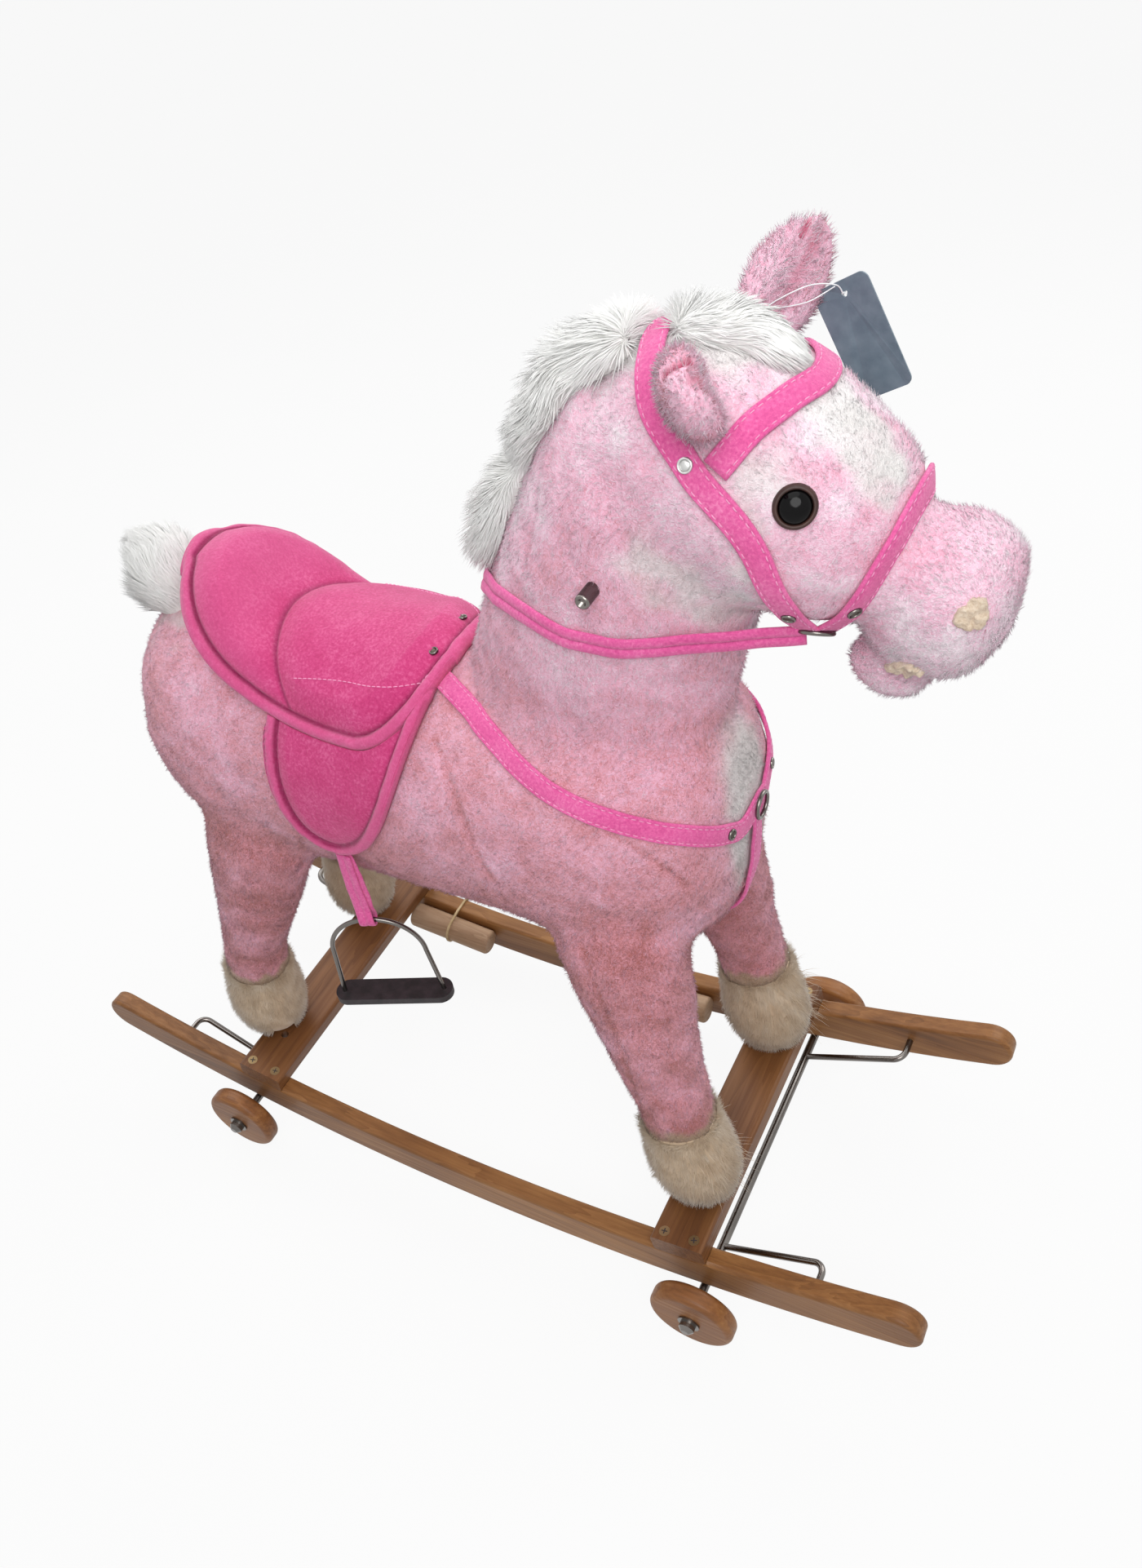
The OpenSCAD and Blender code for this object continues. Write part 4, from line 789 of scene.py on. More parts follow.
# Painted shade: patches that grow darker towards the bottom of the legs
shin = np.clip((0.25 - z) / 0.1, 0, 1)
tone -= shin * np.clip(waves(skin.p * [1, 1, 0.5], 0.02, 16), 0, 1) * 0.16

# The pile turns cream a little above each hoof, along an uneven line
cream = np.zeros(len(x))
for _, e, s in CORNERS:
    ring = at_beam(e, [leg_rows(e, s)[0][:3]])[0] * MM
    upward = (at_beam(e, [[0, 0, 1]]) - at_beam(e, [[0, 0, 0]]))[0]
    near = (np.abs(skin.p - ring) < 0.06).all(1)
    cream = np.maximum(cream, near * within((skin.p - ring) @ upward + edge, 0.009, 0.0014))

horse = dress("plush_skin", skin.p, skin.corners, skin.counts, HORSE, PLUSH)
mark(horse, tone=tone - 0.04, white=white, cream=cream, rose=np.zeros(len(x)))
LEGS = ["leg_" + label for label, _, _ in CORNERS]
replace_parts(horse, "plush_body", "plush_neck", "plush_head", "muzzle", "lower_jaw", *LEGS)


# Fur: closed three-sided hairs, shaded mostly as the cloth that they grow from
NAP = 0.6


def hairs(name, root, way, bend, length, radius, low, high, rings, paint, slot, face, **more):
    """One mesh of hairs.

    low and high are the tone at root and tip: deeper roots are painted shade and paler tips painted sheen.
    face is the way that the cloth under them faces.
    """
    n, per = len(root), 3 * rings + 1
    soft = np.empty((n, per, 3))
    soft[:, -1] = unit(face + NAP * way)
    t = np.arange(rings) / rings
    side = unit(np.cross(way, unit(rng.normal(size=(n, 3)))))
    other = np.cross(way, side)
    length = np.broadcast_to(length, (n,))[:, None]
    points = np.empty((n, per, 3))
    tones = np.empty((n, per))
    for k in range(rings):
        centre = root + length * (t[k] * way + t[k] ** 2 * bend)
        r = np.broadcast_to(radius, (n,))[:, None] * (1 - 0.7 * t[k])
        for j in range(3):
            a = 2 * np.pi * j / 3
            outward = math.cos(a) * side + math.sin(a) * other
            points[:, 3 * k + j] = centre + r * outward
            soft[:, 3 * k + j] = unit(face + NAP * outward)
        tones[:, 3 * k : 3 * k + 3] = (low + (high - low) * t[k])[:, None]
    points[:, -1] = root + length * (way + bend)
    tones[:, -1] = high
    pattern, counts, spread = [0, 2, 1], [3], [(0, 0), (1, 0), (0.5, 0.05)]
    for k in range(rings):
        v0, v1 = 0.1 + 0.9 * k / rings, 0.1 + 0.9 * (k + 1) / rings
        for j in range(3):
            m = (j + 1) % 3
            u0, u1 = j / 3, (j + 1) / 3
            if k < rings - 1:
                pattern += [3 * k + j, 3 * k + m, 3 * k + 3 + m, 3 * k + 3 + j]
                spread += [(u0, v0), (u1, v0), (u1, v1), (u0, v1)]
                counts.append(4)
            else:
                pattern += [3 * k + j, 3 * k + m, per - 1]
                spread += [(u0, v0), (u1, v0), ((u0 + u1) / 2, v1)]
                counts.append(3)
    corners = (np.array(pattern)[None] + per * np.arange(n)[:, None]).ravel()
    piece = dress(name, points.reshape(-1, 3), corners, np.tile(counts, n), HORSE, paint)
    piece.data.normals_split_custom_set_from_vertices(soft.reshape(-1, 3).tolist())
    mark(piece, tone=tones.ravel(), **{k: np.repeat(v, per) for k, v in more.items()})
    cells = math.ceil(math.sqrt(n))
    corner = np.stack([np.arange(n) % cells, np.arange(n) // cells], 1)[:, None]
    uv = (corner + 0.06 + 0.88 * np.array(spread)[None]) / cells
    piece.data.uv_layers.new(name="OFBake").data.foreach_set("uv", uv.astype(np.float32).ravel())
    return piece


# Straps: felt strips that lie on the skin, sewn along both edges
def stitches(bundle, path, out, paint, pitch=0.0044, long=0.0029, thick=0.00032):
    """Dashes of thread along a path; out is the direction away from the cloth at each point."""
    far = run_of(path)
    for start in np.arange(pitch / 2, far[-1] - long, pitch):
        at = start + long * np.array([0, 0.18, 0.5, 0.82, 1])
        line = at_run(at, far, path)
        line += at_run(at, far, out) * thick * np.array([-1.4, 0.1, 0.5, 0.1, -1.4])[:, None]
        bundle.add(*tube(line, thick * np.array([0.5, 1, 1, 1, 0.5]), 5), paint)


def strap(name, path, out, width, thick, node, sewn=True, body=HORSE):
    """A strap along a path, with eased edges and, when sewn, a line of stitches sunk in along each edge."""
    path, out = np.asarray(path), unit(out)
    along = unit(np.gradient(path, axis=0))
    across = unit(np.cross(out, along))
    out = np.cross(along, across)
    half, inset = width / 2, 0.0019
    shape = [(-half + 0.0006, 0), (-half, 0.3 * thick), (-half + 0.0001, 0.75 * thick), (-half + 0.0008, thick)]
    if sewn:
        shape += [(-half + inset - 0.0006, thick), (-half + inset, thick - 0.00045), (-half + inset + 0.0007, thick),
                  (-0.35 * half, 1.06 * thick)]
    else:
        shape += [(-0.45 * half, 1.1 * thick), (-0.12 * half, 0.95 * thick), (0, 0.55 * thick)]
    shape += [(-c, h) for c, h in shape[::-1] if c < 0]
    wave = 0.0003 * waves(path, 0.02, len(name))[:, None]
    rows = [path + wave * across + c * across + h * out for c, h in shape]
    points = np.stack(rows, 1).reshape(-1, 3)
    n, m = len(path), len(shape)
    faces = [f[::-1] for f in grid_faces(n, m)]
    faces += [list(range(m)), [(n - 1) * m + k for k in range(m)][::-1]]
    bundle = Bundle()
    bundle.add(points, faces, 0)
    if sewn:
        for side in (-1, 1):
            line = path + wave * across + side * (half - inset) * across + (thick - 0.0002) * out
            stitches(bundle, line, out, 1)
    piece = bundle.make(name, body, [STRAP, THREAD], "strap_felt")
    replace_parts(piece, node)
    return piece


def whole(half):
    """A route over both sides, from its half on the left."""
    return half + [[u, 180 - a] for u, a in half[-2::-1]]


def on_skin(rows, route, lift):
    """A route of [station, angle] rows on a form, laid on the skin."""
    q = smooth_row(route, np.arange(0, len(route) - 1 + 1e-9, 0.1))
    spot, way = form_point(rows, q[:, 0], q[:, 1]) * MM, form_normal(rows, q[:, 0], q[:, 1])
    hit, _ = lands(skin_tree, spot + way * 0.03, -way, spot)
    hit = np.where(np.linalg.norm(hit - spot, axis=1)[:, None] < 0.012, hit, spot)
    line = curve(np.concatenate([hit + way * lift, way], 1), STRAP_STEP)
    place, way = line[:, :3], unit(line[:, 3:])
    ease_line(place, 4)
    return place, way


TACK_W, REIN_W, TACK_T, STRAP_LIFT, STRAP_STEP = 0.013, 0.012, 0.0024, 0.0012, 0.003
CHEST_LIFT = STRAP_LIFT + 0.0008
headstall_route = [[4.38, -50], [4.22, -34], [3.45, 6], [2.60, 24], [1.85, 46], [1.45, 90]]
browband_route = [[2.88, 27], [3.10, 52], [3.34, 76], [3.40, 90]]
noseband_route = [[5.00, -50], [5.28, -22], [5.50, 25], [5.52, 90]]
collar_route = [[5.70, 66], [6.20, 50], [6.70, 38], [7.20, 32], [7.80, 28], [8.60, 26], [9.30, 24], [9.75, 32],
                [9.90, 90]]
rein_route = [[2.75, -42], [2.50, -20], [2.32, 4], [2.20, 28], [2.00, 58], [1.75, 90]]
chest_route = [[9.88, -90], [9.60, -90], [9.00, -90], [8.20, -90], [7.50, -90]]
RING_STATION, RING_ANGLE = 4.66, -58
bit = {s: off_form(head_rows, RING_STATION, a, 4.6)[0] * MM for s, a in ((1, RING_ANGLE), (-1, 180 - RING_ANGLE))}


def to_rings(place, way, reach):
    """Lengthens a strap at both ends, to the rings of the bit."""
    first = bit[1] + unit(place[0] - bit[1]) * reach
    last = bit[-1] + unit(place[-1] - bit[-1]) * reach
    line = np.concatenate([np.concatenate([first, way[0]])[None], np.concatenate([place, way], 1)[2:-2:3],
                           np.concatenate([last, way[-1]])[None]])
    line = curve(line, STRAP_STEP)
    return line[:, :3], unit(line[:, 3:])


tack = {}
for name, rows, route in (("headstall", head_rows, headstall_route), ("browband", head_rows, browband_route),
                          ("noseband", head_rows, noseband_route)):
    tack[name] = on_skin(rows, whole(route), STRAP_LIFT)
    if name != "browband":
        tack[name] = to_rings(*tack[name], 0.0052)
    strap(name + "_strap", *tack[name], TACK_W, TACK_T, name)
    bare.append((tack[name][0], TACK_W / 2))

tack["collar"] = on_skin(body_rows, whole([[5.2, 79]] + collar_route), STRAP_LIFT)
strap("breast_collar_strap", *tack["collar"], TACK_W, TACK_T, "breast_collar")
lying, _ = on_skin(body_rows, chest_route, CHEST_LIFT)
middle = len(tack["collar"][0]) // 2
joined = np.concatenate([np.linspace(tack["collar"][0][middle] - UP * 0.003, lying[0], 9)[:-1], lying[::2]])
spots = [skin_tree.find_nearest(Vector(q)) for q in joined]
joined = np.array([np.array(spot + face * CHEST_LIFT) for spot, face, _, _ in spots])
line = curve(np.concatenate([joined, [np.array(face) for _, face, _, _ in spots]], 1), STRAP_STEP)
ease_line(line, 6)
tack["chest"] = (line[:, :3], unit(line[:, 3:]))
strap("chest_strap", *tack["chest"], TACK_W, TACK_T, "breast_collar")
bare += [(tack["collar"][0], TACK_W / 2), (tack["chest"][0], TACK_W / 2)]

# Reins: round the neck and forward to the rings
lying, lying_way = on_skin(neck_rows, whole(rein_route), STRAP_LIFT)
REIN_FREE = 5
place, way = to_rings(lying[REIN_FREE:-REIN_FREE], lying_way[REIN_FREE:-REIN_FREE], 0.0045)
for _ in range(14):
    ease_line(place, 1)
    for k, q in enumerate(place):
        near, face, _, gap = skin_tree.find_nearest(Vector(q))
        depth_in = (Vector(q) - near).dot(face)
        if gap < 0.02 and depth_in < STRAP_LIFT:
            place[k] = np.array(near + face * STRAP_LIFT)
tack["reins"] = (place, way)
strap("rein_strap", *tack["reins"], REIN_W, TACK_T, "reins", False)
bare.append((lying, REIN_W / 2))

# Rivets: domed caps with a rolled rim, and the two studs at the front of the saddle
CAP = np.array([(0, 0.3), (0.42, 0.28), (0.64, 0.18), (0.7, 0.1), (0.7, -0.2), (0, -0.2)])
RIM = np.array([(0.66, 0.1), (0.7, 0.26), (0.8, 0.36), (0.92, 0.32), (1, 0.16), (1, -0.2), (0.66, -0.2), (0.66, 0.1)])
RIVET_R, STUD_R = 0.0036, 0.003
rivets = Bundle()


def rivet(at, out, radius, paint=0):
    """A dark cap (0) or a bright one (1) in a rolled rim."""
    rivets.add(*lathe(radius * CAP, at, out, 28), paint)
    rivets.add(*lathe(radius * RIM, at, out, 28), 1 if paint else 2)


def on_strap(name, point):
    """The place on a strap that is nearest to a point, and the way out of the strap there."""
    path, out = tack[name]
    k = np.argmin(np.linalg.norm(path - point, axis=1))
    return path[k] + out[k] * TACK_T * 1.05, out[k]


RIVETS = [("headstall", head_rows, headstall_route[3]), ("headstall", head_rows, headstall_route[1]),
          ("noseband", head_rows, noseband_route[1]), ("collar", body_rows, collar_route[6])]
for k, (name, rows, (u, a)) in enumerate(RIVETS):
    for angle in (a, 180 - a):
        at, out = on_strap(name, form_point(rows, u, angle)[0] * MM)
        rivet(at, out, RIVET_R, int(k == 0))

# Saddle: a padded seat with a roll at the back, laid over the body
SADDLE_X, SADDLE_LEN, WRAP, SEAT_T, CANTLE, EDGE_SHARE, SEAT_LIFT = -165, 200, 52, 13, 36, 0.42, 1.6
FLAP_FROM, FLAP_TO, FLAP_T, FLAP_LIFT, FLAP_WRAP = 0.41, 0.97, 4.5, 1.6, 50


def bulge(t, peak, p, f):
    q = np.where(t < peak, (peak - t) / peak, (t - peak) / (1 - peak))
    w = np.where(t < peak, p, f)
    return np.maximum(0, 1 - np.maximum(q, 0) ** w) ** (1 / w)


def seat_wrap(s):
    return WRAP * np.maximum(bulge(s, 0.74, 1.95, 1.95), EDGE_SHARE / 2)


def flap_end(s):
    t = (s - FLAP_FROM) / (FLAP_TO - FLAP_FROM)
    return seat_wrap(s) + 1.4 + FLAP_WRAP * np.maximum(0.06, bulge(t, 0.36, 2.8, 1.45))


def on_back(s, wrap, off):
    s, wrap = np.broadcast_arrays(np.asarray(s, float), np.asarray(wrap, float))
    knots = np.array([r[0] for r in body_rows])
    u = np.interp(SADDLE_X + s.ravel() * SADDLE_LEN, knots, np.arange(len(knots)))
    return off_form(body_rows, u, 90 + wrap.ravel(), np.broadcast_to(off, s.shape).ravel()) * MM


def crease_at(v):
    return 0.345 + 0.2 * v * v


def seat_thick(s, v):
    c = crease_at(v)
    q = np.clip((c - s) / (c - 0.015), 0, 1)
    roll = np.sin(np.pi / 2 * np.minimum(q / 0.8, 1)) ** 1.15 * (1 - 0.45 * np.abs(v) ** 3)
    low = 3.0 * bell(np.maximum(s - c, 0), 0.06) * (1 - np.abs(v) ** 8)
    fold = 1.6 * bell(s - c, 0.008) * (1 - np.abs(v) ** 8)
    pommel = 2.2 * bell(s - 0.93, 0.09) * (1 - v * v)
    return SEAT_T + 0.97 * CANTLE * roll - low - fold + pommel


def edge_rise(s, v):
    """How far the bound edge stands off the body: it climbs to the top of the roll at the back."""
    t = np.clip((0.46 - s) / 0.40, 0, 1)
    return 0.95 * CANTLE * t * t * (3 - 2 * t) * (1 - 0.3 * v * v)


def bound(d, low, bead, wide):
    """Height of a bound edge at a distance from the rim, in millimetres."""
    return low + bead * np.sqrt(np.clip(1 - ((d - wide / 2) / (wide / 2 + 0.1)) ** 2, 0, 1))


def padded_height(d, low, bead, wide, full, rise):
    pad = np.clip((d - wide) / rise, 0, 1) ** 0.55
    return np.where(d < wide, bound(d, low, bead, wide), low + pad * (full - low))


def ease(n):
    return (1 - np.cos(np.pi * np.arange(n) / (n - 1))) / 2


def pad_faces(rows, cols):
    """Faces of a closed pad between two sheets of points, and the points along a sheet's rim."""
    o = rows * cols
    low = grid_faces(rows, cols, closed_cols=False)
    faces = low + [[i + o for i in f[::-1]] for f in low]
    rim = list(range(cols - 1)) + [k * cols + cols - 1 for k in range(rows - 1)]
    rim += [(rows - 1) * cols + k for k in range(cols - 1, 0, -1)] + [k * cols for k in range(rows - 1, 0, -1)]
    for a, b in zip(rim, rim[1:] + rim[:1]):
        faces.append([b, a, a + o, b + o])
    return faces, rim


SEAT_ROWS, SEAT_COLS, BIND_W, SEAM_MARK_W = 150, 124, 8.5, 1.3
s, v = np.meshgrid(0.4 * ease(SEAT_ROWS) + 0.6 * np.linspace(0, 1, SEAT_ROWS),
                   1 - 2 * (0.3 * ease(SEAT_COLS) + 0.7 * np.linspace(0, 1, SEAT_COLS)), indexing="ij")
inner = on_back(s, v * seat_wrap(s), SEAT_LIFT)
lump = 0.6 * waves(inner, 0.045, 21).reshape(s.shape)
faces, rim = pad_faces(SEAT_ROWS, SEAT_COLS)
from_rim = to_line(inner, inner[rim]).reshape(s.shape) / MM
ripple = 0.4 * waves(inner, 0.011, 24).reshape(s.shape) * (from_rim < BIND_W)
thick = padded_height(from_rim, 3.4 + edge_rise(s, v), 4.6, BIND_W, seat_thick(s, v) + lump, 17)
thick = thick + ripple * np.clip(from_rim / 2, 0, 1)
outer = on_back(s, v * seat_wrap(s), SEAT_LIFT + thick)
seat = Bundle()
points = np.concatenate([inner, outer])
seat.add(points, faces, 0)
# Painted shade: seam_mark darkens the felt along the seam inside the binding, and fold_mark in the fold before the
# roll
seam_mark = bell(from_rim - BIND_W, SEAM_MARK_W)
fold_mark = bell((s - crease_at(v)) * SADDLE_LEN, 1.7) * (from_rim > BIND_W)
on_roll = np.clip((crease_at(v) - s) / 0.1, 0, 1) * (from_rim > BIND_W)
fluff = np.maximum((from_rim < BIND_W - 1) * 0.7, on_roll * 0.5)
crease_shade = np.concatenate([np.zeros(s.size), np.maximum(seam_mark, 0.8 * fold_mark).ravel()])
fluffs = np.concatenate([np.zeros(s.size), fluff.ravel()])
seat_tree = BVHTree.FromPolygons(points.tolist(), faces)


def on_seat(s, v):
    """Places on top of the padded seat, and the way up from the body there."""
    s, v = np.atleast_1d(s), np.atleast_1d(v)
    low, high = (on_back(s, v * seat_wrap(s), SEAT_LIFT + h) for h in (0, 70))
    up = unit(high - low)
    return lands(seat_tree, high, -up, low)[0], up


for side in (1, -1):
    t = np.linspace(0.50, 0.955, 60)
    line, up = on_seat(t, side * (0.66 - 0.1 * np.sin(np.pi * (t - 0.5) / 0.455)))
    stitches(seat, line + 0.0001 * up, up, 1, 0.0036, 0.0030, 0.00034)
seat_piece = seat.make("padded_saddle_seat", HORSE, [SADDLE, THREAD], "saddle_felt")
rest = np.zeros(seat.count - len(crease_shade))
mark(seat_piece, crease=np.concatenate([crease_shade, rest]), fluff=np.concatenate([fluffs, rest]))
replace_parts(seat_piece, "saddle_seat")

FLAP_ROWS, FLAP_COLS = 110, 66
for name, side in SIDES.items():
    s, v = np.meshgrid(FLAP_FROM + (FLAP_TO - FLAP_FROM) * ease(FLAP_ROWS), np.linspace(0, 1, FLAP_COLS),
                       indexing="ij")
    wrap = -(seat_wrap(s) + 0.2 + (flap_end(s) - seat_wrap(s) - 0.2) * v)
    inner = on_back(s, wrap, FLAP_LIFT) * [1, side, 1]
    hem = inner.reshape(FLAP_ROWS, FLAP_COLS, 3)
    from_hem = to_line(inner, np.concatenate([hem[0, 3:], hem[1:-1, -1], hem[-1, 3:]])).reshape(s.shape) / MM
    swell = FLAP_T + 0.8 + 0.4 * waves(inner, 0.04, 25).reshape(s.shape)
    ripple = 0.35 * waves(inner, 0.011, 26).reshape(s.shape) * (from_hem < BIND_W) * np.clip(from_hem / 2, 0, 1)
    outer = on_back(s, wrap, FLAP_LIFT + padded_height(from_hem, 2.2, 4.4, BIND_W, swell, 9) + ripple) * [1, side, 1]
    points = np.concatenate([inner, outer])
    faces, _ = pad_faces(FLAP_ROWS, FLAP_COLS)
    if side > 0:
        faces = [f[::-1] for f in faces]
    piece = make("padded_saddle_flap_" + name, points, faces, HORSE, SADDLE)
    # Painted shade: seam_mark darkens the felt along the seam inside the binding
    seam_mark = bell(from_hem - BIND_W, SEAM_MARK_W)
    under = np.zeros(s.size)
    mark(piece, crease=np.concatenate([under, seam_mark.ravel()]),
         fluff=np.concatenate([under, 0.7 * (from_hem < BIND_W - 1).ravel()]))
    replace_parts(piece, "saddle_flap_" + name)

for v in (0.3, -0.3):
    at, up = on_seat(0.93, v)
    rivet(at[0] + 0.0003 * up[0], up[0], STUD_R)
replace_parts(rivets.make("rivets_and_studs", HORSE, [DARK_STEEL, NICKEL, STEEL], "steel"), "tack_rivets")

# Stirrup straps: a doubled felt strip round the top of the stirrup
joint = {j["name"]: j for j in frame["record"]["behaviour"]["joints"]}
LEATHER_W, LAYER, WIRE_R, LOOP_FROM, STIRRUP_TURN = 0.0115, 0.0015, 0.0034, 0.8, math.radians(23)
for name, side in SIDES.items():
    top = np.array(joint[name + "_strap_swing"]["pos_m"])
    low = np.array(joint[name + "_stirrup_swing"]["pos_m"])
    drop = top[2] - low[2]
    h = np.linspace(0, 1, 26)
    swell = np.clip((h - LOOP_FROM) / (1 - LOOP_FROM), 0, 1)
    swell = 0.0002 + WIRE_R * swell**2 * (3 - 2 * swell)
    a = np.linspace(0, np.pi, 12)[1:-1]
    deep = np.concatenate([h * drop, drop + WIRE_R * np.sin(a), h[::-1] * drop])
    wide = np.concatenate([swell, WIRE_R * np.cos(a), -swell[::-1]])
    turn_by = -side * STIRRUP_TURN * np.clip(deep / drop, 0, 1)
    across = np.stack([np.cos(turn_by), np.sin(turn_by), 0 * turn_by], 1)
    thick_way = np.stack([-np.sin(turn_by), np.cos(turn_by), 0 * turn_by], 1) * side
    path = top + thick_way * wide[:, None] - UP * deep[:, None]
    back = np.concatenate([0 * h, 0 * a, np.sin(np.pi * h[::-1]) ** 0.7])
    path += across * (0.0034 * back - 0.001 * np.sin(np.pi * np.clip(deep / drop, 0, 1)))[:, None]
    facing = np.concatenate([0 * h, a, 0 * h + np.pi])[:, None]
    out = np.cos(facing) * thick_way - np.sin(facing) * UP
    strap("stirrup_leather_" + name, path, out, LEATHER_W, LAYER, "stirrup_strap_" + name, False,
          body="stirrup_strap_%s_body" % name)

# Ears: folded plush cones with a rose slit, and a fainter rose line down the hollow that is painted shade
EAR_SIDES, EAR_STEPS = 72, 10
SLIT_PIXELS = [(812, 460), (822, 451), (835, 445), (848, 441)]
ear_points = {}
points, faces = loft(ear_rows, EAR_SIDES, EAR_STEPS)
near_ear = ear_place(-1, points) * MM
near_tree = BVHTree.FromPolygons(near_ear.tolist(), [f[::-1] for f in faces])
spots, _ = at_pixels(near_tree, SLIT_PIXELS)
slit = curve(spots, 0.001)
for name, side in SIDES.items():
    place = ear_place(side, points) * MM
    sewn = faces if side > 0 else [f[::-1] for f in faces]
    to_slit = to_line(place, slit * [1, -side, 1])
    inward = unit(ear_place(side, np.repeat(smooth_row(ear_rows, [2.2])[:, :3], len(points), 0)) * MM - place)
    place = place + inward * 0.0034 * bell(to_slit, 0.0017)[:, None]
    ear = make("plush_ear_" + name, place, sewn, HORSE, EAR_PLUSH)
    dent = ear_place(side, form_point(ear_rows, np.linspace(0.8, 4.2, 60), 90)) * MM
    # Rose lining along the slit; the half-strength rose down the hollow is painted shade
    lining_and_hollow_shade = np.maximum(bell(to_slit, 0.0019), 0.5 * bell(to_line(place, dent), 0.003))
    zero = np.zeros(len(place))
    mark(ear, tone=0.6 + 0.08 * waves(place, 0.02, 31), white=zero, cream=zero, rose=lining_and_hollow_shade)
    out = np.array([v.normal for v in ear.data.vertices]) + [0, 0.3 * side, 0.4]
    ear.data.normals_split_custom_set_from_vertices(unit(out).tolist())
    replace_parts(ear, "ear_" + name)
    tris = np.array([[f[0], f[k], f[k + 1]] for f in sewn for k in range(1, len(f) - 1)])
    ear_points[name] = (place, tris, lining_and_hollow_shade)

# Eyes: a dark ring round a glossy dome
EYE_R, EYE_STATION = 0.0097, 3.75
EYE_RING = np.array([(0.74, 0), (0.76, 0.24), (0.82, 0.31), (0.9, 0.29), (0.97, 0.19), (1, 0.05), (1, -0.2),
                     (0.74, -0.2), (0.74, 0)])
EYE_DOME = np.array([(0.77 * math.cos(t), 0.1 + 0.46 * math.sin(t)) for t in np.linspace(0, 1.45, 10)]
                    + [(0, 0.56), (0, 0), (0.77, 0), (0.77, 0.1)])
eyes = Bundle()
for a in (28, 152):
    out = form_normal(head_rows, EYE_STATION, a)
    at, _ = lands(skin_tree, form_point(head_rows, EYE_STATION, a) * MM + out * 0.03, -out)
    for paint, profile in enumerate((EYE_RING, EYE_DOME)):
        eyes.add(*lathe(EYE_R * profile, at[0], out[0], 48), paint)
    bare.append((at, EYE_R * 1.02))
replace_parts(eyes.make("glass_eyes", HORSE, [EYE_RIM, EYE_BLACK], "eye_plastic"), "eyes")

# Felt patches with a frayed outline: nostrils and the inside of the mouth
PATCH_SIDES = 44
PATCH_RINGS = [(0.02, 0.0022), (0.25, 0.0021), (0.5, 0.0023), (0.75, 0.0026), (0.92, 0.0024), (1.0, 0.0014),
               (1.02, -0.001)]  # share of the patch's size, height over the skin


def patch(bundle, at, out, wide, high, turn_by, seed):
    sides, c, s = PATCH_SIDES, math.cos(turn_by), math.sin(turn_by)
    side = unit(np.cross(out, UP))
    other = np.cross(out, side)
    side, other = side * c + other * s, other * c - side * s
    angles = np.arange(sides) * 2 * np.pi / sides
    fray = 1 + 0.12 * np.sin(2 * angles + seed) + 0.1 * np.sin(3 * angles + 2 * seed)
    fray += 0.05 * np.sin(7 * angles + seed)
    fray = (fray + 0.03 * np.sin(17 * angles + seed))[:, None]
    rings = []
    for share, lift in PATCH_RINGS:
        flat = at + share * fray * (wide * np.cos(angles)[:, None] * side + high * np.sin(angles)[:, None] * other)
        hit, _ = lands(skin_tree, flat + out * 0.02, np.repeat(-out[None], sides, 0), flat)
        rings.append(hit + out * lift + out * 0.0009 * waves(hit, 0.0032, 50)[:, None] * (share < 1))
    points = np.concatenate([rings[0].mean(0)[None]] + rings)
    faces = [[0, 1 + k, 1 + (k + 1) % sides] for k in range(sides)]
    faces += [[i + 1 for i in f[::-1]] for f in grid_faces(len(rings), sides)]
    outward = np.cross(side, other) @ out > 0
    bundle.add(points, faces if outward else [f[::-1] for f in faces])
    bare.append((at[None], 0.85 * min(wide, high)))


nose = Bundle()
for a in (22, 158):
    patch(nose, form_point(muzzle_rows, 3.4, a)[0] * MM, form_normal(muzzle_rows, 3.4, a)[0], 0.0068, 0.0076, 0.3, a)
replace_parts(nose.make("nostril_patches", HORSE, BEIGE, "beige_felt"), "nostrils")
mouth = Bundle()
at, out = at_pixels(skin_tree, [(1109, 818)])
for side in (1, -1):
    patch(mouth, at[0] * [1, side, 1], out[0] * [1, side, 1], 0.0115, 0.0042, 0.5 * side, 4)
mouth.make("mouth_lining", HORSE, BEIGE, "beige_felt")

# Handle rod through the neck, threaded at both ends
ROD_X, ROD_Z, ROD_LEN, ROD_R = 0.15849, 0.59048, 0.134, 0.004
half, profile = ROD_LEN / 2, []
for sign in (-1, 1):
    thread = [(ROD_R - (0.0004 if k % 2 else 0.0), half - 0.0012 - 0.0006 * k) for k in range(24)]
    tip = [(0, half - 0.003), (0.0021, half - 0.003), (0.0023, half), (ROD_R - 0.0009, half), (ROD_R, half - 0.0009)]
    line = [(r, sign * h) for r, h in tip + thread]
    profile += line if sign < 0 else line[::-1]
rod = Bundle()
rod.add(*lathe(profile, np.array([ROD_X, 0, ROD_Z]), [0, 1, 0], 28))
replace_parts(rod.make("threaded_rod", HORSE, STEEL, "steel"), "handle_rod")
bare += [(np.array([[ROD_X, t, ROD_Z]]), 0.006) for t in (-0.056, 0.056)]

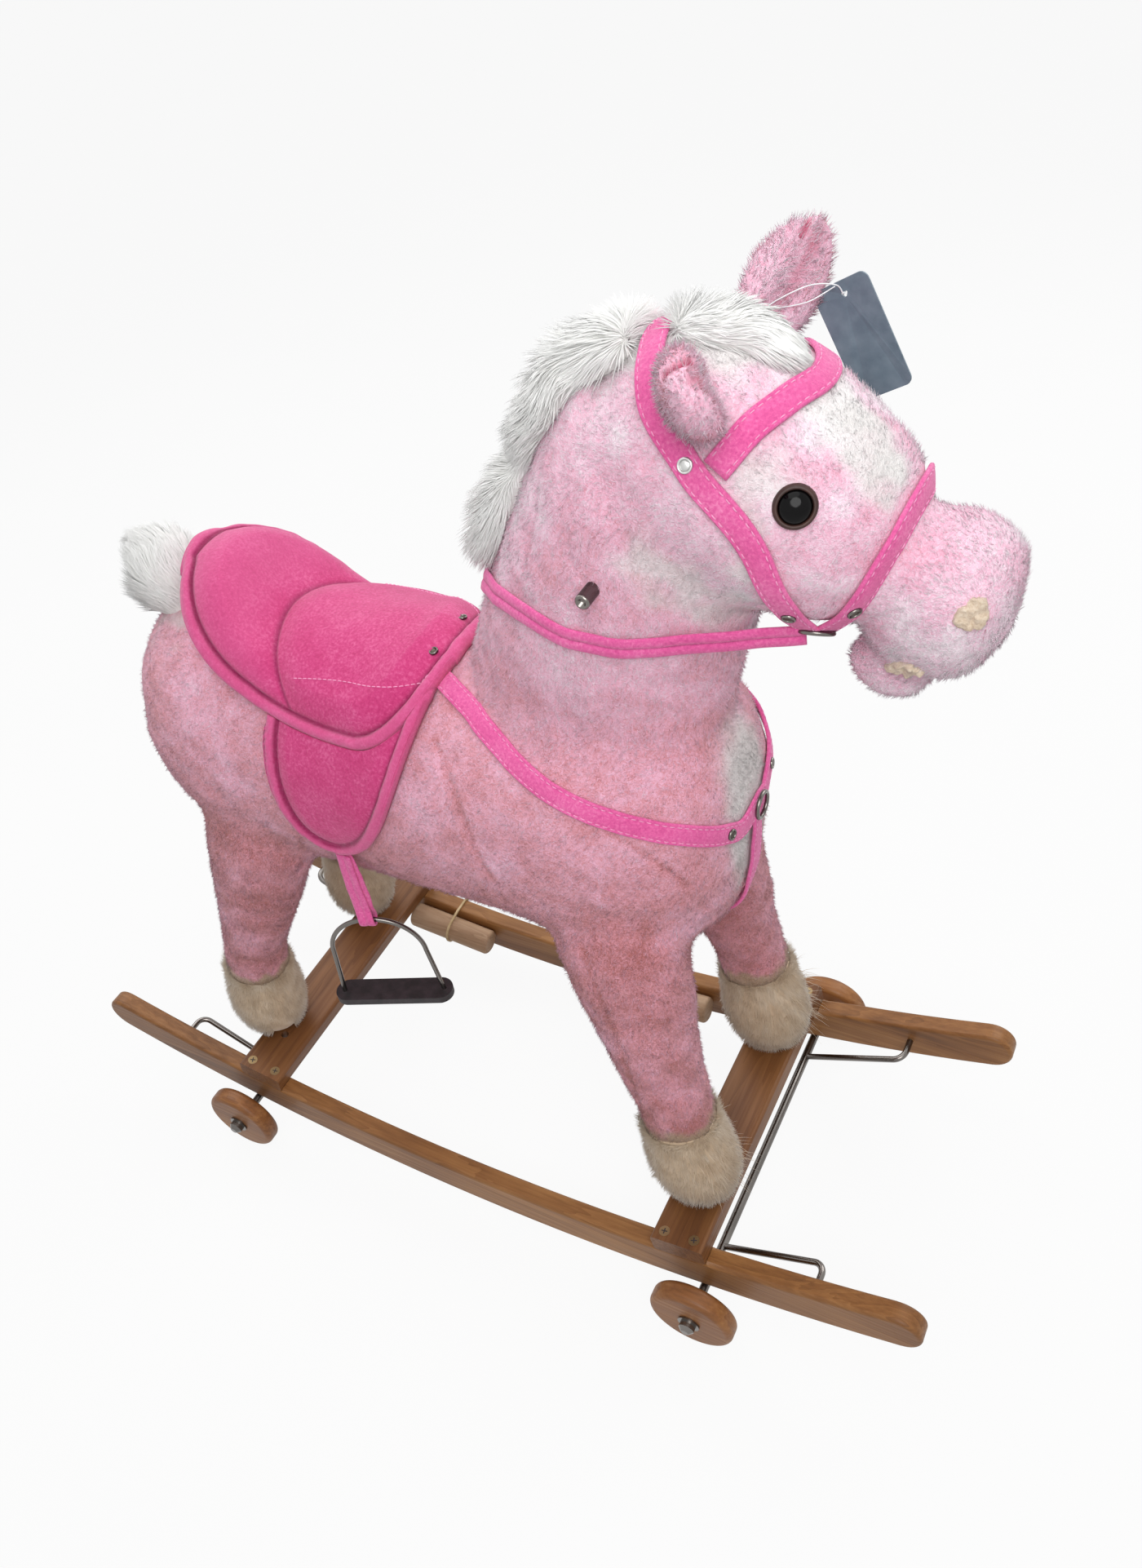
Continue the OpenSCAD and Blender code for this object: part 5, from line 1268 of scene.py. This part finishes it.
# Cross recesses in the screw heads, as thin black crosses on the heads: painted shade of the recesses
SCREW_X, SCREW_Y = 12, 123
SLOT = [(2.3, 0.45), (-2.3, 0.45), (-2.3, -0.45), (2.3, -0.45)]
SLOT_FACES = [[3, 2, 1, 0], [4, 5, 6, 7]] + [[i, (i + 1) % 4, (i + 1) % 4 + 4, i + 4] for i in range(4)]
screws = Bundle()
for _, e, s in CORNERS:
    for k in (1, -1):
        spin = rng.uniform(0, math.pi)
        for bar in (0, math.pi / 2):
            c, d = math.cos(spin + bar), math.sin(spin + bar)
            base = [(k * SCREW_X + p * c - q * d, s * SCREW_Y + p * d + q * c) for p, q in SLOT]
            box = [(p, q, BEAM_T + h) for h in (-0.3, 0.06 + 0.02 * (bar > 0)) for p, q in base]
            screws.add(at_beam(e, box) * MM, SLOT_FACES)
screws.make("screw_recesses", HORSE, TREAD, "steel", smooth=False)


# Pile on the plush: short hairs that lie back along the nap
def scatter(points, tris, weight, count):
    """Places spread over triangles: the triangle of each, and its shares of the corners."""
    a, b, c = (points[tris[:, k]] for k in range(3))
    area = np.linalg.norm(np.cross(b - a, c - a), axis=1) * weight
    which = rng.choice(len(tris), count, p=area / area.sum())
    u, v = rng.uniform(size=(2, count))
    flip = u + v > 1
    u, v = np.where(flip, 1 - u, u), np.where(flip, 1 - v, v)
    return which, np.stack([1 - u - v, u, v], 1)


def spread(value, tris, which, share):
    return (value[tris[which]] * (share[..., None] if value.ndim > 1 else share)).sum(1)


def keep_clear(points):
    """True for places where no strap, eye, felt patch or rod end lies."""
    free = np.ones(len(points), bool)
    for line, reach in bare:
        free &= to_line(points, line) > reach
    return free


BACK_Z, BACK_HALF_W, BACK_HALF_H = 394, 88, 98


def under_saddle(p):
    x, y, z = p.T * 1000
    s = (x - SADDLE_X) / SADDLE_LEN
    seat = (s > 0.03) & (s < 0.97)
    angle = np.degrees(np.arctan2(np.abs(y), (z - BACK_Z) * BACK_HALF_W / BACK_HALF_H))
    reach = np.where((s > 0.4) & (s < 0.93), flap_end(np.clip(s, 0, 1)), seat_wrap(np.clip(s, 0, 1)))
    return seat & (angle < reach - 6)


def pile(name, points, tris, normals, flows, tones, weight, count, length=0.0038, toward=0.0, stand=38, paint=PLUSH,
         **more):
    """Short hairs over triangles; toward turns their shading, and stand is how steeply they rise, in degrees."""
    which, share = scatter(points, tris, weight, count)
    root = spread(points, tris, which, share)
    free = keep_clear(root)
    which, share, root = which[free], share[free], root[free]
    n = unit(spread(normals, tris, which, share))
    lie = unit(spread(flows, tris, which, share))
    side = np.cross(n, lie)
    swing = 0.55 * waves(root, 0.03, 41) + 0.3 * waves(root, 0.011, 42) + 0.6 * waves(root, 0.0045, 44)
    swing += rng.normal(0, 0.25, len(root))
    lie = lie * np.cos(swing)[:, None] + side * np.sin(swing)[:, None]
    rise = stand + 8 * waves(root, 0.02, 43) + 14 * waves(root, 0.0045, 45) + rng.normal(0, 6, len(root))
    rise = np.radians(np.clip(rise, 12, 85))[:, None]
    way = unit(lie * np.cos(rise) + n * np.sin(rise))
    tone = spread(tones, tris, which, share) + rng.normal(0, 0.1, len(root))
    size = length * rng.uniform(0.75, 1.2, len(root))
    masks = {k: spread(v, tris, which, share) for k, v in more.items()}
    # Painted shade and sheen: each hair runs from a deeper root to a paler tip
    return hairs(name, root - n * 0.0005, way, -0.08 * n, size, 0.00026, tone - 0.1, tone + 0.25, 1, paint,
                 "pink_plush", unit(n + toward), **masks)


none = np.zeros(len(skin.p))
spot = skin.p[skin.t].mean(1)
facing = normal[skin.t].mean(1)
tri_region = region[skin.t[:, 0]]
shown = ~under_saddle(spot)
low_belly = np.where(facing[:, 2] < -0.6, 0.55, 1.0)
GROUPS = [("pile_body", [0], 46000, 0.0), ("pile_neck_and_head", [NECK, *HEAD], 46000, 0.35),
          ("pile_front_legs", [5, 6], 26000, 0.0), ("pile_rear_legs", [7, 8], 26000, 0.0)]
for name, regions, count, raised in GROUPS:
    weight = np.isin(tri_region, regions) * shown * low_belly * np.where(np.isin(tri_region, SNOUT), 1.7, 1.0)
    pile(name, skin.p, skin.t, normal, flow, tone, weight, count, toward=raised * UP, white=white, cream=cream,
         rose=none)
for name, (place, tris, lining_and_hollow_shade) in ear_points.items():
    side, normals = SIDES[name], point_normals(place, tris)
    tip = unit(ear_place(side, np.array([[EAR_LEN, 0, 0]])) - ear_place(side, np.zeros((1, 3))))
    flows = tip - normals * (normals * tip).sum(1)[:, None] + 1e-4
    zero = np.zeros(len(place))
    pile("pile_ear_" + name, place, tris, normals, unit(flows), 0.6 + 0.12 * waves(place, 0.02, 33),
         1 - 0.97 * lining_and_hollow_shade[tris].mean(1), 2600, 0.005, 0.3 * tip + [0, 0.2 * side, 0.6], 50, EAR_PLUSH,
         white=zero, cream=zero, rose=zero)


# Long fur: mane, forelock and tail over a solid core, and the hooves
def fur_form(name, rows, core, count, length, radius, lift, pull, node, seed, trim=None, fan=(0, 0)):
    """A white core with hairs; lift and pull share their way between straight out and along the form.

    fan is how far the hairs at the first and the last row lean out over that end.
    """
    slim = [[*r[:3], r[3] * core, r[4] * core, *r[5:]] for r in rows]
    points, faces = loft(slim, 40, 6)
    points *= MM
    body = make(name + "_core", points, faces, HORSE, WHITE_FUR)
    mark(body, tone=0.62 + 0.1 * waves(points, 0.01, seed))
    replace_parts(body, node)
    last = len(rows) - 1
    u = rng.uniform(0.02, last - 0.02, count)
    a = rng.uniform(0, 360, count)
    root = form_point(slim, u, a) * MM
    n = form_normal(slim, u, a)
    ahead = unit(form_point(slim, np.minimum(u + 0.05, last), a) - form_point(slim, np.maximum(u - 0.05, 0), a))
    first, end = np.clip(1 - u, 0, 1) * (fan[0] > 0), np.clip(1 - last + u, 0, 1) * (fan[1] > 0)
    along = (pull * (1 - first - end) - fan[0] * first + fan[1] * end)[:, None]
    loose = np.stack([waves(root, 0.035, seed + k) for k in (1, 2, 3)], 1)
    fine = np.stack([waves(root, 0.009, seed + k) for k in (4, 5, 6)], 1)
    way = unit(lift * n + along * ahead + 0.25 * loose + 0.16 * fine + rng.normal(0, 0.07, (count, 3)))
    bend = 0.3 * along * ahead - 0.15 * UP + 0.15 * loose
    size = length * rng.uniform(0.75, 1.1, count)
    if trim is not None:
        size = size * trim(u / last)
    ends = root + size[:, None] * (way + bend)
    free = ~inside(skin_tree, root + n * 0.002) & ~inside(skin_tree, ends)
    tone = 0.8 + 0.12 * waves(root, 0.014, seed + 7) + rng.normal(0, 0.05, count)
    # Painted shade and sheen: each hair runs from a deeper root to a paler tip
    return hairs(name, root[free], way[free], bend[free], size[free], radius, (tone - 0.16)[free],
                 (tone + 0.25)[free], 3, WHITE_FUR, "white_fur", n[free])


fur_form("mane_fur", mane_rows, 0.78, 9000, 0.012, 0.00036, 0.62, 0.62, "mane", 60,
         lambda t: 1.1 - 0.75 * bell(t - 0.571, 0.06), (0.6, 0))
fur_form("forelock_fur", forelock_rows, 0.72, 3600, 0.012, 0.00034, 0.5, -0.7, "forelock", 70,
         lambda t: 0.6 + 0.45 * t, (0, 0.6))
fur_form("tail_fur", tail_rows, 0.8, 8000, 0.014, 0.00036, 0.42, 0.85, "tail", 80)

for label, e, s in CORNERS:
    rows = hoof_rows(e, s)
    snug = rows[:-1] + [[*rows[-1][:3], rows[-1][3] * 0.95, rows[-1][4] * 0.95, *rows[-1][5:]]]
    points, faces = loft(snug, 56, 8)
    place = at_beam(e, points) * MM
    core = make("hoof_plush_" + label, place, faces, HORSE, CREAM_FUR)
    mark(core, tone=0.46 + 0.1 * waves(place, 0.014, 90))
    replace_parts(core, "hoof_" + label)
    for kind, count, rings in (("fur", 9000, 1), ("fringe", 1500, 1), ("wisps", 60, 3))[: 3 if e > 0 else 2]:
        last = len(rows) - 1
        u, a = rng.uniform(0.2, last, count), rng.uniform(0, 360, count)
        long, sag = rng.uniform(3.6, 5.6, count), np.where(u < 1.3, 0.2, 0.75)
        if kind == "wisps":
            u, a = rng.uniform(2.0, 4.0, count), rng.normal(80 if s > 0 else 100, 26, count)
            long, sag = rng.uniform(9, 18, count), rng.uniform(-0.2, 0.5, count)
        if kind == "fringe":
            u = last - rng.uniform(0, 0.5, count)
            long, sag = rng.uniform(4, 8, count), np.full(count, -0.8)
        root, n = form_point(rows, u, a), form_normal(rows, u, a)
        loose = np.stack([waves(root * MM, 0.014, 91 + k) for k in range(3)], 1)
        way = unit(0.6 * n - UP * sag[:, None] + 0.22 * loose + rng.normal(0, 0.12, (count, 3)))
        bend = 0.1 * n - (0.12 if rings == 1 else 0.45) * UP
        room = (root[:, 2] - BEAM_T - 0.8) / long
        way[:, 2] = np.maximum(way[:, 2], -room + 0.12)
        tones = 0.5 + 0.12 * waves(at_beam(e, root) * MM, 0.012, 95) + rng.normal(0, 0.06, count)
        if e < 0:
            # the fur leaves the open hole in the beam free
            tips = root + long[:, None] * (way + bend)
            gap = np.linalg.norm(tips[:, :2] - [-SPARE_HOLE[0], s * SPARE_HOLE[1]], axis=1)
            free = (gap > HOLE_CLEAR) | (root[:, 2] > BEAM_T + HOLE_HIGH)
            root, way, bend, n, long, tones = (q[free] for q in (root, way, bend, n, long, tones))
        low = at_beam(e, root)
        as_beam = [at_beam(e, root + w) - low for w in (way, bend, n)]
        # Painted shade and sheen: each hair runs from a deeper root to a paler tip
        hairs("hoof_%s_%s" % (kind, label), low * MM, as_beam[0], as_beam[1], long * MM,
              0.00026 if rings == 1 else 0.0002, tones - 0.1, tones + 0.22, rings, CREAM_FUR, "cream_plush",
              as_beam[2])

# Blank card tag on a nylon loop at the left ear
card_mid, card_up = np.array([0.2505, 0.060, 0.6655]), unit(np.array([-0.45, 0.0, 0.9]))
lean = np.array([0.86, -0.05, 0.43])
card_side = unit(lean - card_up * (lean @ card_up))
card_out = np.cross(card_side, card_up)
CARD_W, CARD_H, CARD_T, CARD_R, HOLE_R = 0.027, 0.055, 0.0008, 0.004, 0.0016
outline = []
for cx, cy, start in ((1, 1, 0), (-1, 1, 90), (-1, -1, 180), (1, -1, 270)):
    for t in np.radians(start + np.linspace(0, 90, 9)):
        outline.append((cx * (CARD_W / 2 - CARD_R) + CARD_R * math.cos(t),
                        cy * (CARD_H / 2 - CARD_R) + CARD_R * math.sin(t)))
outline = np.array(outline)
hole = np.array([0.0, CARD_H / 2 - 0.006])
ring = hole + HOLE_R * unit(outline - hole)
count = len(outline)
flat = np.concatenate([outline, ring])
curl = 0.0012 * (flat[:, 0] / CARD_W * 2) ** 2 - 0.002 * (flat[:, 1] / CARD_H) ** 2
sheet = card_mid + flat[:, :1] * card_side + flat[:, 1:] * card_up + curl[:, None] * card_out
points = np.concatenate([sheet + card_out * CARD_T / 2, sheet - card_out * CARD_T / 2])
faces, m = [], 2 * count
for k in range(count):
    j = (k + 1) % count
    faces += [[k, j, count + j, count + k], [m + j, m + k, m + count + k, m + count + j],
              [k, m + k, m + j, j], [count + j, m + count + j, m + count + k, count + k]]
make("blank_tag", points, faces, HORSE, CARD, smooth=False)
hole_at = card_mid + hole[1] * card_up
ear_root = ear_place(1, np.array([[14.0, 4.0, 6.0]]))[0] * MM
half_way = (hole_at + ear_root) / 2
loop = [hole_at + card_out * 0.001, hole_at + card_up * 0.006 + card_out * 0.004, half_way + UP * 0.006, ear_root,
        half_way - UP * 0.001, hole_at + card_up * 0.004 - card_out * 0.003]
TIE_STEP, TIE_R = 0.0012, 0.0003
tie = Bundle()
tie.add(*tube(curve(np.array(loop), TIE_STEP, closed=True), TIE_R, 8, closed=True))
tie.make("tag_tie", HORSE, NYLON)

# Finish of the solids that show
FINISH = {WOOD_X: ["rocker_left", "rocker_right"], WOOD_Y: ["front_crossbeam", "rear_crossbeam"],
          WHEEL_WOOD: [n for n in nodes if n.startswith("wheel_")],
          STEEL: ["front_axle", "rear_axle", "front_axle_caps", "rear_axle_caps", "front_axle_washers",
                  "rear_axle_washers", "stirrup_left", "stirrup_right", "tack_rings", "leg_bolts"],
          BRASS: ["crossbeam_screws"], TREAD: ["stirrup_tread_left", "stirrup_tread_right"],
          GRIP_WOOD: ["hand_grips"], BAND: ["grip_bands"],
          BARE_WOOD: ["leg_posts", "shoulder_rail", "hip_rail", "spine_board", "neck_bar"]}
for paint, names in FINISH.items():
    for name in names:
        nodes[name].data.materials.clear()
        nodes[name].data.materials.append(paint)

# Floor and light
FLOOR_HALF, FLOOR_GLOW, WORLD_LIGHT = 14.0, 0.92, 0.36
floor_paint = Paint("floor", Roughness=0.9, Specular_IOR_Level=0.0)
pale = floor_paint.ramp(floor_paint.noise(3, 2), (0.3, rgb(206, 206, 206)), (0.7, rgb(212, 212, 212)))
floor_paint.finish(Base_Color=pale)
glow = floor_paint.node("Emission", {"Color": (1, 1, 1, 1), "Strength": 1.0}).outputs[0]
share = floor_paint.maths("MULTIPLY", floor_paint.seen(), FLOOR_GLOW)
blend = floor_paint.node("MixShader", {0: share, 1: floor_paint.bsdf.outputs[0], 2: glow}).outputs[0]
floor_paint.set(floor_paint.tree.nodes["Material Output"], {"Surface": blend})
data = bpy.data.meshes.new("floor")
data.from_pydata([(-FLOOR_HALF, -FLOOR_HALF, 0), (FLOOR_HALF, -FLOOR_HALF, 0), (FLOOR_HALF, FLOOR_HALF, 0),
                  (-FLOOR_HALF, FLOOR_HALF, 0)], [], [(0, 1, 2, 3)])
data.materials.append(floor_paint.material)
floor = bpy.data.objects.new("floor", data)
bpy.context.scene.collection.objects.link(floor)

world = bpy.data.worlds.new("studio")
bpy.context.scene.world = world
world.use_nodes = True
sky = Nodes(world.node_tree)
strength = sky.maths("MAXIMUM", sky.seen(), WORLD_LIGHT)
sky.set(sky.tree.nodes["Background"], {"Color": (1, 1, 1, 1), "Strength": strength})


def lamp(name, place, aim, size, power):
    light = bpy.data.lights.new(name, "AREA")
    light.shape = "DISK"
    light.size = size
    light.energy = power
    lit = bpy.data.objects.new(name, light)
    bpy.context.scene.collection.objects.link(lit)
    lit.location = place
    lit.rotation_euler = (Vector(aim) - Vector(place)).to_track_quat("-Z", "Y").to_euler()


lamp("key", (0.60, -0.76, 1.26), (0.16, 0, 0.55), 0.8, 9)
lamp("top", (0.10, -0.20, 1.95), (0.05, 0, 0.5), 1.5, 7)
lamp("rim", (-1.1, 0.6, 1.5), (0, 0, 0.45), 1.4, 12)
lamp("far", (0.6, 1.4, 1.2), (0.05, 0, 0.4), 1.2, 11)
bpy.context.scene.view_settings.view_transform = "Standard"
